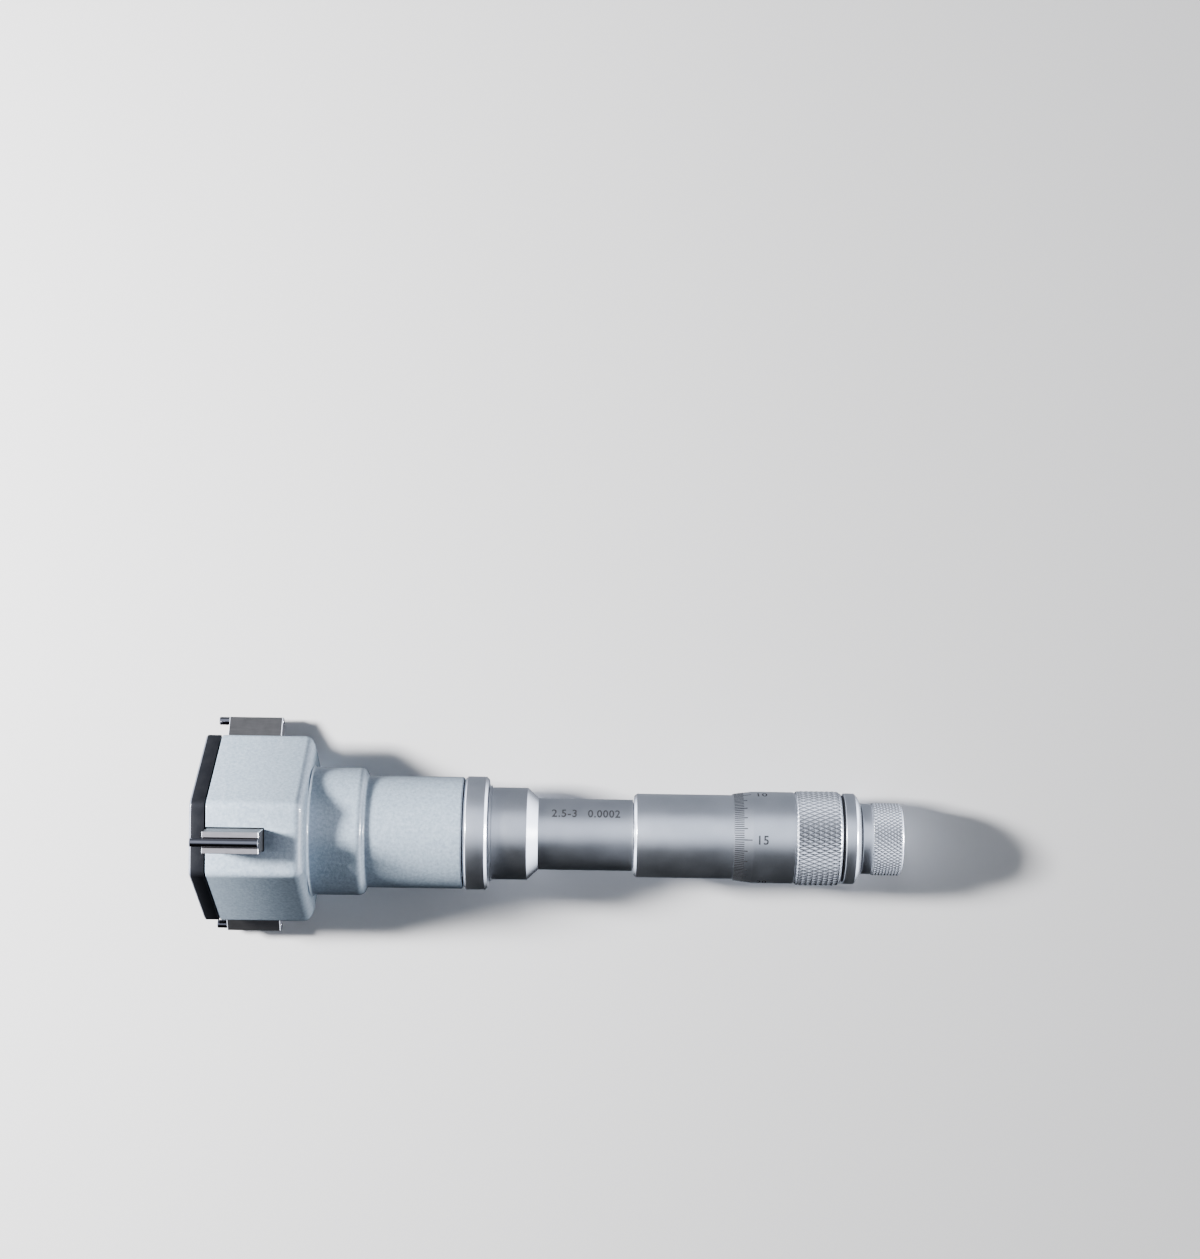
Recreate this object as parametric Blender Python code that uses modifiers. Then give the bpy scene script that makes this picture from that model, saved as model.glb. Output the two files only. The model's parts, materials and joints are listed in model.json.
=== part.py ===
"""Three-point inside micrometer, 2.5 to 3 inch, lying on one wide facet of its head.

The measuring axis is +X, from the end cover of the head to the ratchet, and +Z is up. The origin is the
middle of the end cover's outer face. One anvil points straight up and the other two point down to
either side. All sizes are in metres.
"""

import math

import bmesh
import bpy
from mathutils import Matrix

COLLECTION_NAME = "inside_micrometer"

# Clearances
FIT_GAP = 0.0003            # between pieces that seat on each other
THIMBLE_GAP = 0.0002        # between the scale sleeve and the thimble's bore, in radius
END_PLAY = 0.0010           # spare travel behind each sliding piece

# Facets round the turned pieces
OUTER_SEGMENTS = 48
INNER_SEGMENTS = 28
SMALL_SEGMENTS = 16
WIRE_POINTS_PER_TURN = 8

# Radius of the bore that the anvils touch at rest, and their travel from there to the limits of the range
RADIUS_AT_REST = 0.03310
ANVIL_TRAVEL_OUT = 0.0050
ANVIL_TRAVEL_IN = 0.00135

# End cover
COVER_THICKNESS = 0.0039
COVER_WEB = 0.0016          # what the relief for the cone's tip leaves of the cover
COVER_EDGE_CHAMFER = 0.0004
COVER_CORNER_ROUND = 0.0020

# Head housing: narrow facets carry the anvils, wide facets lie between them
ANVIL_COUNT = 3
ANVIL_FACET_APOTHEM = 0.0236
WIDE_FACET_APOTHEM = 0.01985
HOUSING_LENGTH = 0.0257
HOUSING_EDGE_ROUND = 0.0020
REAR_ROUND_LENGTH = 0.0032
REAR_ROUND_DEPTH = 0.0056
REAR_ROUND_STEPS = 5
NECK_RADIUS = 0.0169
NECK_LENGTH = 0.0120
NECK_SHOULDER = 0.0016
SHANK_RADIUS = 0.0148
SHANK_LENGTH = 0.0258
SHANK_EDGE = 0.0004
HEAD_BORE_RADIUS = 0.0119
BUSH_LAND_RADIUS = 0.0095
BUSH_LAND_LENGTH = 0.0014

# Cover screws, between the anvils
COVER_SCREW_CIRCLE = 0.0158
COVER_SCREW_RADIUS = 0.0015
COVER_SCREW_LENGTH = 0.0118
SCREW_HEAD_RADIUS = 0.00275
SCREW_HEAD_HEIGHT = 0.0019
SCREW_SOCKET_RADIUS = 0.00145
SCREW_SOCKET_DEPTH = 0.0012
SCREW_HEAD_SET_BACK = 0.0003

# Anvils and the hard measuring pins on them
ANVIL_LENGTH = 0.0144
ANVIL_WIDTH = 0.0056
ANVIL_TIP_RADIUS = 0.0033
ANVIL_SET_BACK = 0.00045
ANVIL_EDGE_CHAMFER = 0.00025
ANVIL_FOOT_LENGTH = 0.00435
ANVIL_FOOT_RADIUS = 0.0138
ANVIL_SLOT_GAP = 0.0003
PIN_RADIUS = 0.0011
PIN_OVERHANG = 0.00305
PIN_SEAT_GAP = 0.00015
PIN_CHAMFER = 0.0002
ANVIL_SPRING_SEAT = 0.0217
ANVIL_SPRING_RADIUS = 0.0015
ANVIL_SPRING_WIRE = 0.00025
ANVIL_SPRING_TURNS = 4.5

# Measuring cone
CONE_SLOPE = 0.5            # radius gained for each unit of length
CONE_TIP_RADIUS = 0.0030
CONE_TIP_CHAMFER = 0.0004
CONE_TIP_ROOM = 0.0004
CONE_SKIRT_LENGTH = 0.0080
CONE_SOCKET_DEPTH = 0.0044

# Push rod, its guide bush and return spring, and the ball behind it
BUSH_LENGTH = 0.0035
ROD_RADIUS = 0.0040
ROD_SPIGOT_RADIUS = 0.0030
ROD_COLLAR_RADIUS = 0.0062
ROD_COLLAR_LENGTH = 0.0030
ROD_TAIL_LENGTH = 0.0060
ROD_GUIDE_GAP = 0.0003
BALL_RADIUS = 0.0020
BALL_PROUD = 0.0004
ROD_SPRING_LENGTH = 0.0233
ROD_SPRING_RADIUS = 0.0052
ROD_SPRING_WIRE = 0.00045
ROD_SPRING_TURNS = 7.5

# Lock ring and frame tube
LOCK_RING_LENGTH = 0.0063
LOCK_RING_RADIUS = 0.0150
LOCK_RING_CHAMFER = 0.0007
COLLAR_RADIUS = 0.0122
COLLAR_LENGTH = 0.0100
COLLAR_LIP_RADIUS = 0.0127
COLLAR_LIP_LENGTH = 0.0005
COLLAR_TAPER_LENGTH = 0.0029
TUBE_RADIUS = 0.00944
TUBE_LENGTH = 0.0250
TUBE_CHAMBER_RADIUS = 0.0066
TUBE_BORE_RADIUS = 0.0049
CORE_RADIUS = 0.0086
CORE_LENGTH = 0.0249

# Scale sleeve and its adjusting screw
SLEEVE_RADIUS = 0.0111
SLEEVE_LENGTH = 0.0386
SLEEVE_CHAMFER = 0.0007
SLEEVE_SCREW_STATION = 0.0046
SLEEVE_SCREW_RADIUS = 0.0012
SLEEVE_SCREW_LENGTH = 0.0019
SLEEVE_SCREW_ANGLE = math.radians(150.0)
SLEEVE_SCREW_SLOT = 0.0004

# Spindle nut and its adjuster
NUT_SEAT_DEPTH = 0.0036
NUT_RADIUS = 0.0066
NUT_LENGTH = 0.0180
ADJUSTER_FLANGE_LENGTH = 0.0027

# Spindle
SPINDLE_RADIUS = 0.0034
SPINDLE_THREAD_RADIUS = 0.0041
SPINDLE_TIP_CHAMFER = 0.0005
SPINDLE_FLANGE_RADIUS = 0.0056
SPINDLE_FLANGE_LENGTH = 0.0017
SPINDLE_HUB_RADIUS = 0.0040
SPINDLE_END_RADIUS = 0.0036

# Thimble and the cap that clamps it to the spindle
THIMBLE_EDGE_STATION = 0.0262   # from the front of the scale sleeve to the thimble's edge, at rest
THIMBLE_EDGE_WALL = 0.00012
THIMBLE_BEVEL_LENGTH = 0.0050
THIMBLE_RADIUS = 0.0121
THIMBLE_PLAIN_LENGTH = 0.0114
THIMBLE_KNURL_RADIUS = 0.0125
THIMBLE_KNURL_LENGTH = 0.0117
THIMBLE_KNURL_CHAMFER = 0.0004
THIMBLE_END_STEP = 0.0004
THIMBLE_WEB = 0.0046
CAP_GROOVE_LENGTH = 0.0004
CAP_GROOVE_DEPTH = 0.0006
CAP_RADIUS = 0.0120
CAP_LAND_LENGTH = 0.0029
CAP_CHAMFER_LENGTH = 0.0016
CAP_END_RADIUS = 0.0094

# Ratchet
RATCHET_NECK_RADIUS = 0.0093
RATCHET_NECK_LENGTH = 0.0025
RATCHET_KNURL_RADIUS = 0.0096
RATCHET_KNURL_LENGTH = 0.0081
RATCHET_CHAMFER = 0.0004
RATCHET_CHAMBER_RADIUS = 0.0074
RATCHET_END_WALL = 0.0031
RATCHET_TEETH = 12
RATCHET_TOOTH_HEIGHT = 0.0008
PAWL_RADIUS = 0.0069
PAWL_THICKNESS = 0.0023
RATCHET_SCREW_RADIUS = 0.0016
RATCHET_SCREW_LENGTH = 0.0114
RATCHET_SCREW_HEAD_RADIUS = 0.0030
RATCHET_SCREW_HEAD_HEIGHT = 0.0014
RATCHET_SPRING_RADIUS = 0.0052
RATCHET_SPRING_WIRE = 0.00035
RATCHET_SPRING_TURNS = 3.0

# How far the cone moves from rest, forward to the largest bore and back to the smallest
CONE_ADVANCE = ANVIL_TRAVEL_OUT / CONE_SLOPE
CONE_RETREAT = ANVIL_TRAVEL_IN / CONE_SLOPE

# Stations along the axis, each from the one before
HOUSING_FRONT = COVER_THICKNESS + FIT_GAP
HOUSING_REAR = HOUSING_FRONT + HOUSING_LENGTH
NECK_REAR = HOUSING_REAR + NECK_LENGTH
SHANK_FRONT = NECK_REAR + NECK_SHOULDER
SHANK_REAR = SHANK_FRONT + SHANK_LENGTH
ANVIL_FRONT = HOUSING_FRONT + ANVIL_SET_BACK
ANVIL_REAR = ANVIL_FRONT + ANVIL_LENGTH
CONE_TIP = COVER_WEB + CONE_TIP_ROOM + CONE_ADVANCE
CONE_RADIUS = HEAD_BORE_RADIUS - FIT_GAP
CONE_SHOULDER = CONE_TIP + (CONE_RADIUS - CONE_TIP_RADIUS) / CONE_SLOPE
CONE_REAR = CONE_SHOULDER + CONE_SKIRT_LENGTH
BUSH_LAND_FRONT = CONE_REAR + CONE_RETREAT + END_PLAY
BUSH_FRONT = BUSH_LAND_FRONT + BUSH_LAND_LENGTH + FIT_GAP
BUSH_REAR = BUSH_FRONT + BUSH_LENGTH
TUBE_FRONT = BUSH_REAR + FIT_GAP
ROD_FRONT = CONE_REAR - CONE_SOCKET_DEPTH + FIT_GAP
ROD_SPRING_FRONT = BUSH_REAR + FIT_GAP
ROD_COLLAR_FRONT = ROD_SPRING_FRONT + ROD_SPRING_LENGTH + FIT_GAP
ROD_COLLAR_REAR = ROD_COLLAR_FRONT + ROD_COLLAR_LENGTH
ROD_REAR = ROD_COLLAR_REAR + ROD_TAIL_LENGTH
BALL_CENTRE = ROD_REAR + BALL_PROUD
SPINDLE_FRONT = BALL_CENTRE + BALL_RADIUS + FIT_GAP
CHAMBER_REAR = ROD_COLLAR_REAR + CONE_RETREAT + END_PLAY
LOCK_RING_FRONT = SHANK_REAR + FIT_GAP
LOCK_RING_REAR = LOCK_RING_FRONT + LOCK_RING_LENGTH
COLLAR_FRONT = LOCK_RING_REAR + FIT_GAP
COLLAR_LIP_REAR = COLLAR_FRONT + COLLAR_LIP_LENGTH
COLLAR_REAR = COLLAR_FRONT + COLLAR_LENGTH
TUBE_THIN_FRONT = COLLAR_REAR + COLLAR_TAPER_LENGTH
TUBE_REAR = TUBE_THIN_FRONT + TUBE_LENGTH
CORE_REAR = TUBE_REAR + CORE_LENGTH
SLEEVE_FRONT = TUBE_REAR + FIT_GAP
SLEEVE_REAR = SLEEVE_FRONT + SLEEVE_LENGTH
NUT_SEAT_FRONT = TUBE_REAR + NUT_SEAT_DEPTH
NUT_FRONT = NUT_SEAT_FRONT + FIT_GAP
NUT_REAR = NUT_FRONT + NUT_LENGTH
ADJUSTER_FRONT = NUT_REAR + FIT_GAP
ADJUSTER_FLANGE_FRONT = CORE_REAR + FIT_GAP
ADJUSTER_REAR = ADJUSTER_FLANGE_FRONT + ADJUSTER_FLANGE_LENGTH
THIMBLE_FRONT = SLEEVE_FRONT + THIMBLE_EDGE_STATION
THIMBLE_BEVEL_REAR = THIMBLE_FRONT + THIMBLE_BEVEL_LENGTH
THIMBLE_KNURL_FRONT = THIMBLE_BEVEL_REAR + THIMBLE_PLAIN_LENGTH
THIMBLE_KNURL_REAR = THIMBLE_KNURL_FRONT + THIMBLE_KNURL_LENGTH
THIMBLE_REAR = THIMBLE_KNURL_REAR + THIMBLE_END_STEP
THIMBLE_WEB_FRONT = THIMBLE_REAR - THIMBLE_WEB
CAP_FRONT = THIMBLE_REAR + FIT_GAP
CAP_LAND_FRONT = CAP_FRONT + CAP_GROOVE_LENGTH
CAP_LAND_REAR = CAP_LAND_FRONT + CAP_LAND_LENGTH
CAP_REAR = CAP_LAND_REAR + CAP_CHAMFER_LENGTH
RATCHET_FRONT = CAP_REAR + FIT_GAP
RATCHET_KNURL_FRONT = RATCHET_FRONT + RATCHET_NECK_LENGTH
RATCHET_REAR = RATCHET_KNURL_FRONT + RATCHET_KNURL_LENGTH
RATCHET_FLOOR = RATCHET_REAR - RATCHET_END_WALL
SPINDLE_REAR = RATCHET_FLOOR - RATCHET_TOOTH_HEIGHT - FIT_GAP
PAWL_TOOTH_TIPS = RATCHET_FLOOR - RATCHET_TOOTH_HEIGHT - FIT_GAP
PAWL_REAR = PAWL_TOOTH_TIPS - RATCHET_TOOTH_HEIGHT
PAWL_FRONT = PAWL_REAR - PAWL_THICKNESS
RATCHET_SPRING_FRONT = CAP_REAR + FIT_GAP
RATCHET_SCREW_HEAD_REAR = RATCHET_REAR - FIT_GAP
RATCHET_SCREW_HEAD_FRONT = RATCHET_SCREW_HEAD_REAR - RATCHET_SCREW_HEAD_HEIGHT

# Radii that follow from a neighbour
TUBE_SPIGOT_RADIUS = HEAD_BORE_RADIUS - FIT_GAP
SLEEVE_BORE_RADIUS = CORE_RADIUS + FIT_GAP
THIMBLE_BORE_RADIUS = SLEEVE_RADIUS + THIMBLE_GAP
NUT_BORE_RADIUS = SPINDLE_THREAD_RADIUS + FIT_GAP

# Turn of each anvil about the axis, from straight up
ANVIL_TURNS = {
    "top": 0.0,
    "rear": -2.0 * math.pi / ANVIL_COUNT,
    "front": 2.0 * math.pi / ANVIL_COUNT,
}


def clear_scene():
    """Remove every object that the file starts with."""
    for item in list(bpy.data.objects):
        bpy.data.objects.remove(item, do_unlink=True)


def new_collection(name):
    collection = bpy.data.collections.new(name)
    bpy.context.scene.collection.children.link(collection)
    return collection


def new_material(name, color, roughness, metallic):
    """Make a Principled material from a colour, roughness and metallic value."""
    material = bpy.data.materials.new(name)
    material.use_nodes = True
    shader = material.node_tree.nodes["Principled BSDF"]
    shader.inputs["Base Color"].default_value = (*color, 1.0)
    shader.inputs["Roughness"].default_value = roughness
    shader.inputs["Metallic"].default_value = metallic
    material.diffuse_color = (*color, 1.0)
    return material


def new_object(name, mesh, collection, material=None):
    item = bpy.data.objects.new(name, mesh)
    collection.objects.link(item)
    if material and not mesh.materials:
        mesh.materials.append(material)
    return item


def mesh_from(bm, name):
    """Turn a bmesh into a mesh with outward faces, smooth where it is round."""
    bmesh.ops.recalc_face_normals(bm, faces=bm.faces)
    mesh = bpy.data.meshes.new(name)
    bm.to_mesh(mesh)
    bm.free()
    mesh.shade_smooth()
    mesh.set_sharp_from_angle(angle=math.radians(30.0))
    return mesh


def turned(name, profile, collection, material=None, segments=OUTER_SEGMENTS, bore=None):
    """Turn a profile of (station, radius) points about the X axis.

    The profile runs from front to back. Without a bore it starts and ends on the axis. A bore is a second
    profile, also from front to back, and the two close into the section of a ring.
    """
    points = list(profile) + list(reversed(bore or []))
    points.reverse()
    count = len(points)
    edges = [(index, index + 1) for index in range(count - 1)]
    if bore:
        edges.append((count - 1, 0))
    mesh = bpy.data.meshes.new(name)
    mesh.from_pydata([(station, radius, 0.0) for station, radius in points], edges, [])
    item = new_object(name, mesh, collection, material)
    screw = item.modifiers.new("turn", "SCREW")
    screw.axis = "X"
    screw.steps = segments
    screw.render_steps = segments
    screw.use_merge_vertices = True
    screw.merge_threshold = 0.000001
    screw.use_smooth_shade = True
    return item


def solid_profile(points):
    """Close a profile onto the axis at both ends."""
    return [(points[0][0], 0.0)] + list(points) + [(points[-1][0], 0.0)]


def straight_bore(front, rear, radius):
    return [(front, radius), (rear, radius)]


def chamfered(front, rear, radius, chamfer):
    """Outer profile of a plain cylinder with a chamfer at each end."""
    return [
        (front, radius - chamfer),
        (front + chamfer, radius),
        (rear - chamfer, radius),
        (rear, radius - chamfer),
    ]


def plate(name, outline, thickness):
    """Extrude an outline of (x, z) points to a thickness centred on y = 0."""
    bm = bmesh.new()
    corners = [bm.verts.new((x, -thickness / 2.0, z)) for x, z in outline]
    face = bm.faces.new(corners)
    grown = bmesh.ops.extrude_face_region(bm, geom=[face])
    moved = [part for part in grown["geom"] if isinstance(part, bmesh.types.BMVert)]
    bmesh.ops.translate(bm, vec=(0.0, thickness, 0.0), verts=moved)
    return mesh_from(bm, name)


def head_corners():
    """Corners of the head's section as (y, z), two beside each anvil facet."""
    ratio = WIDE_FACET_APOTHEM / ANVIL_FACET_APOTHEM
    half_turn = math.pi / ANVIL_COUNT
    spread = math.atan((ratio - math.cos(half_turn)) / math.sin(half_turn))
    radius = ANVIL_FACET_APOTHEM / math.cos(spread)
    corners = []
    for number in range(ANVIL_COUNT):
        middle = 2.0 * half_turn * number
        for turn in (middle - spread, middle + spread):
            corners.append((-radius * math.sin(turn), radius * math.cos(turn)))
    return corners


def head_prism(front, rear, corner_round):
    """A prism of the head's section with rounded long edges, and its rear face."""
    bm = bmesh.new()
    first = [bm.verts.new((front, y, z)) for y, z in head_corners()]
    face = bm.faces.new(first)
    grown = bmesh.ops.extrude_face_region(bm, geom=[face])
    moved = [part for part in grown["geom"] if isinstance(part, bmesh.types.BMVert)]
    bmesh.ops.translate(bm, vec=(rear - front, 0.0, 0.0), verts=moved)
    long_edges = [edge for edge in bm.edges if abs(edge.verts[0].co.x - edge.verts[1].co.x) > FIT_GAP]
    bmesh.ops.bevel(bm, geom=long_edges, offset=corner_round, segments=4, profile=0.5, affect="EDGES")
    return bm


def end_face(bm, station):
    """The flat face across the axis at a station."""
    return min(bm.faces, key=lambda face: abs(face.calc_center_median().x - station))


def cut(target, cutter):
    """Cut a shape out of a piece."""
    boolean = target.modifiers.new(cutter.name, "BOOLEAN")
    boolean.operation = "DIFFERENCE"
    boolean.solver = "EXACT"
    boolean.object = cutter
    cutter.hide_render = True
    cutter.display_type = "WIRE"


def join(target, other):
    """Join a shape to a piece."""
    boolean = target.modifiers.new(other.name, "BOOLEAN")
    boolean.operation = "UNION"
    boolean.solver = "EXACT"
    boolean.object = other
    other.hide_render = True
    other.display_type = "WIRE"


def cylinder_cutter(name, cutters, radius, front, rear, segments=SMALL_SEGMENTS):
    """A cylinder along X, made at the origin's axis."""
    bm = bmesh.new()
    turn = Matrix.Rotation(math.pi / 2.0, 4, "Y")
    place = Matrix.Translation(((front + rear) / 2.0, 0.0, 0.0)) @ turn
    bmesh.ops.create_cone(bm, cap_ends=True, segments=segments, radius1=radius, radius2=radius,
                          depth=rear - front, matrix=place)
    return new_object(name, mesh_from(bm, name), cutters)


def coil_spring(name, collection, material, radius, wire, turns, length):
    """A coil of round wire along the object's own Z, from the origin upwards, as a closed mesh."""
    rise = length - 2.0 * wire
    steps = int(round(turns * WIRE_POINTS_PER_TURN))
    curve = bpy.data.curves.new(name, "CURVE")
    curve.dimensions = "3D"
    curve.bevel_depth = wire
    curve.bevel_resolution = 1
    curve.use_fill_caps = True
    spline = curve.splines.new("POLY")
    spline.points.add(steps)
    for number, point in enumerate(spline.points):
        angle = 2.0 * math.pi * number / WIRE_POINTS_PER_TURN
        height = wire + rise * number / steps
        point.co = (radius * math.cos(angle), radius * math.sin(angle), height, 1.0)
    drawn = bpy.data.objects.new(name + "_path", curve)
    collection.objects.link(drawn)
    depsgraph = bpy.context.evaluated_depsgraph_get()
    mesh = bpy.data.meshes.new_from_object(drawn.evaluated_get(depsgraph))
    bpy.data.objects.remove(drawn, do_unlink=True)
    bm = bmesh.new()
    bm.from_mesh(mesh)
    bmesh.ops.remove_doubles(bm, verts=bm.verts, dist=0.000001)
    mesh.materials.clear()
    coil = new_object(name, mesh_from(bm, name), collection, material)
    return coil


def socket_screw(name, collection, cutters, material, radius, length, head_radius, head_height):
    """A cap screw along X, its head at the origin facing -X, with a hexagon socket."""
    profile = solid_profile([
        (0.0, head_radius - radius * 0.1),
        (radius * 0.1, head_radius),
        (head_height, head_radius),
        (head_height, radius),
        (head_height + length - radius * 0.3, radius),
        (head_height + length, radius * 0.7),
    ])
    screw = turned(name, profile, collection, material, SMALL_SEGMENTS)
    socket = cylinder_cutter(name + "_socket", cutters, SCREW_SOCKET_RADIUS, -FIT_GAP,
                             SCREW_SOCKET_DEPTH, segments=6)
    cut(screw, socket)
    return screw, socket


def build_end_cover(parts, cutters, material):
    """The black plate that closes the head, with a relief for the cone and counterbored holes."""
    bm = head_prism(0.0, COVER_THICKNESS, COVER_CORNER_ROUND)
    rim = end_face(bm, 0.0).edges[:]
    bmesh.ops.bevel(bm, geom=rim, offset=COVER_EDGE_CHAMFER, segments=2, profile=0.5, affect="EDGES")
    cover = new_object("end_cover", mesh_from(bm, "end_cover"), parts, material)
    relief_radius = CONE_TIP_RADIUS + COVER_THICKNESS * CONE_SLOPE
    relief = cylinder_cutter("cone_relief", cutters, relief_radius, COVER_WEB,
                             COVER_THICKNESS + FIT_GAP, INNER_SEGMENTS)
    cut(cover, relief)
    seat = SCREW_HEAD_SET_BACK + SCREW_HEAD_HEIGHT + FIT_GAP
    for number in range(ANVIL_COUNT):
        hole = turned(
            f"cover_hole_{number + 1}",
            solid_profile([
                (-FIT_GAP, SCREW_HEAD_RADIUS + FIT_GAP),
                (seat, SCREW_HEAD_RADIUS + FIT_GAP),
                (seat, COVER_SCREW_RADIUS + FIT_GAP),
                (COVER_THICKNESS + FIT_GAP, COVER_SCREW_RADIUS + FIT_GAP),
            ]),
            cutters, segments=SMALL_SEGMENTS)
        place_between_anvils(hole, number)
        cut(cover, hole)
    return cover


def place_between_anvils(item, number, station=0.0):
    """Set a piece that lies along X on the screw circle, between two anvils."""
    turn = math.pi / ANVIL_COUNT * (2 * number + 1)
    item.location = (station, -COVER_SCREW_CIRCLE * math.sin(turn), COVER_SCREW_CIRCLE * math.cos(turn))


def build_cover_screws(parts, cutters, material):
    """Three cap screws that hold the end cover."""
    for number in range(ANVIL_COUNT):
        screw, socket = socket_screw(
            f"cover_screw_{number + 1}", parts, cutters, material, COVER_SCREW_RADIUS,
            COVER_SCREW_LENGTH, SCREW_HEAD_RADIUS, SCREW_HEAD_HEIGHT)
        place_between_anvils(screw, number, SCREW_HEAD_SET_BACK)
        place_between_anvils(socket, number, SCREW_HEAD_SET_BACK)


def anvil_outline():
    """Side view of an anvil as (station, radius): the block, the inclined inner face and the foot."""
    incline = ANVIL_TIP_RADIUS - FIT_GAP - CONE_TIP_RADIUS
    incline_front = CONE_TIP + incline / CONE_SLOPE
    foot_rear = ANVIL_REAR + ANVIL_FOOT_LENGTH
    outer = RADIUS_AT_REST - PIN_RADIUS
    return [
        (ANVIL_FRONT, ANVIL_TIP_RADIUS),
        (incline_front, ANVIL_TIP_RADIUS),
        (foot_rear, ANVIL_TIP_RADIUS + (foot_rear - incline_front) * CONE_SLOPE),
        (foot_rear, ANVIL_FOOT_RADIUS),
        (ANVIL_REAR, ANVIL_FOOT_RADIUS),
        (ANVIL_REAR, outer),
        (ANVIL_FRONT, outer),
    ]


def build_head_housing(parts, cutters, material):
    """The cast head with its neck and shank, bored through and slotted for the anvils."""
    straight_rear = HOUSING_REAR - REAR_ROUND_LENGTH
    bm = head_prism(HOUSING_FRONT, straight_rear, HOUSING_EDGE_ROUND)
    corner_radius = math.hypot(*head_corners()[0])
    face = end_face(bm, straight_rear)
    reached = 0.0
    width = 1.0
    for step in range(1, REAR_ROUND_STEPS + 1):
        angle = math.pi / 2.0 * step / REAR_ROUND_STEPS
        grown = bmesh.ops.extrude_discrete_faces(bm, faces=[face])
        face = grown["faces"][0]
        ahead = REAR_ROUND_LENGTH * math.sin(angle)
        size = 1.0 - REAR_ROUND_DEPTH * (1.0 - math.cos(angle)) / corner_radius
        for vert in face.verts:
            vert.co.x += ahead - reached
            vert.co.y *= size / width
            vert.co.z *= size / width
        reached = ahead
        width = size
    housing = new_object("head_housing", mesh_from(bm, "head_housing"), parts, material)

    neck = turned(
        "neck_and_shank",
        solid_profile([
            (HOUSING_REAR - REAR_ROUND_LENGTH, NECK_RADIUS),
            (NECK_REAR, NECK_RADIUS),
            (SHANK_FRONT, SHANK_RADIUS),
            (SHANK_REAR - SHANK_EDGE, SHANK_RADIUS),
            (SHANK_REAR, SHANK_RADIUS - SHANK_EDGE),
        ]),
        cutters)
    join(housing, neck)

    bore = turned(
        "head_bore",
        solid_profile([
            (0.0, HEAD_BORE_RADIUS),
            (BUSH_LAND_FRONT, HEAD_BORE_RADIUS),
            (BUSH_LAND_FRONT, BUSH_LAND_RADIUS),
            (BUSH_LAND_FRONT + BUSH_LAND_LENGTH, BUSH_LAND_RADIUS),
            (BUSH_LAND_FRONT + BUSH_LAND_LENGTH, HEAD_BORE_RADIUS),
            (SHANK_REAR + END_PLAY, HEAD_BORE_RADIUS),
        ]),
        cutters, segments=INNER_SEGMENTS)
    cut(housing, bore)

    slot_rear = ANVIL_REAR + ANVIL_SLOT_GAP
    pocket_rear = slot_rear + ANVIL_FOOT_LENGTH
    beyond = 2.0 * ANVIL_FACET_APOTHEM
    slot_outline = [
        (0.0, 0.0),
        (pocket_rear, 0.0),
        (pocket_rear, ANVIL_SPRING_SEAT),
        (slot_rear, ANVIL_SPRING_SEAT),
        (slot_rear, beyond),
        (0.0, beyond),
    ]
    for side, turn in ANVIL_TURNS.items():
        name = f"anvil_slot_{side}"
        slot = new_object(name, plate(name, slot_outline, ANVIL_WIDTH + 2.0 * ANVIL_SLOT_GAP), cutters)
        slot.rotation_euler.x = turn
        cut(housing, slot)

    hole_rear = SCREW_HEAD_SET_BACK + SCREW_HEAD_HEIGHT + COVER_SCREW_LENGTH + END_PLAY
    for number in range(ANVIL_COUNT):
        hole = cylinder_cutter(f"tapped_hole_{number + 1}", cutters, COVER_SCREW_RADIUS + FIT_GAP,
                               0.0, hole_rear)
        place_between_anvils(hole, number)
        cut(housing, hole)
    return housing


def build_anvils(parts, cutters, steel, hard_metal, spring_steel):
    """Three anvils, each with a hard pin along its outer face and a spring that draws it in."""
    outer = RADIUS_AT_REST - PIN_RADIUS
    block = plate("anvil", anvil_outline(), ANVIL_WIDTH)
    groove = cylinder_cutter("pin_groove", cutters, PIN_RADIUS + PIN_SEAT_GAP, 0.0,
                             ANVIL_REAR + END_PLAY)
    groove.data.transform(Matrix.Translation((0.0, 0.0, outer)))
    pin_profile = solid_profile(
        chamfered(ANVIL_FRONT - PIN_OVERHANG, ANVIL_REAR, PIN_RADIUS, PIN_CHAMFER))
    spring_length = ANVIL_SPRING_SEAT - ANVIL_FOOT_RADIUS - 2.0 * FIT_GAP
    spring_station = ANVIL_REAR + ANVIL_SLOT_GAP + ANVIL_FOOT_LENGTH / 2.0
    for side, turn in ANVIL_TURNS.items():
        about_axis = Matrix.Rotation(turn, 4, "X")
        anvil = new_object(f"anvil_{side}", block.copy(), parts, steel)
        anvil.rotation_euler.x = turn
        edges = anvil.modifiers.new("edges", "BEVEL")
        edges.width = ANVIL_EDGE_CHAMFER
        edges.segments = 1
        edges.limit_method = "ANGLE"
        edges.angle_limit = math.radians(50.0)
        groove_here = new_object(f"pin_groove_{side}", groove.data.copy(), cutters)
        groove_here.rotation_euler.x = turn
        cut(anvil, groove_here)

        pin = turned(f"measuring_pin_{side}", pin_profile, parts, hard_metal, SMALL_SEGMENTS)
        pin.matrix_world = about_axis @ Matrix.Translation((0.0, 0.0, outer))

        spring = coil_spring(f"anvil_spring_{side}", parts, spring_steel, ANVIL_SPRING_RADIUS,
                             ANVIL_SPRING_WIRE, ANVIL_SPRING_TURNS, spring_length)
        seat = Matrix.Translation((spring_station, 0.0, ANVIL_FOOT_RADIUS + FIT_GAP))
        spring.matrix_world = about_axis @ seat
    bpy.data.objects.remove(groove, do_unlink=True)


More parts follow.
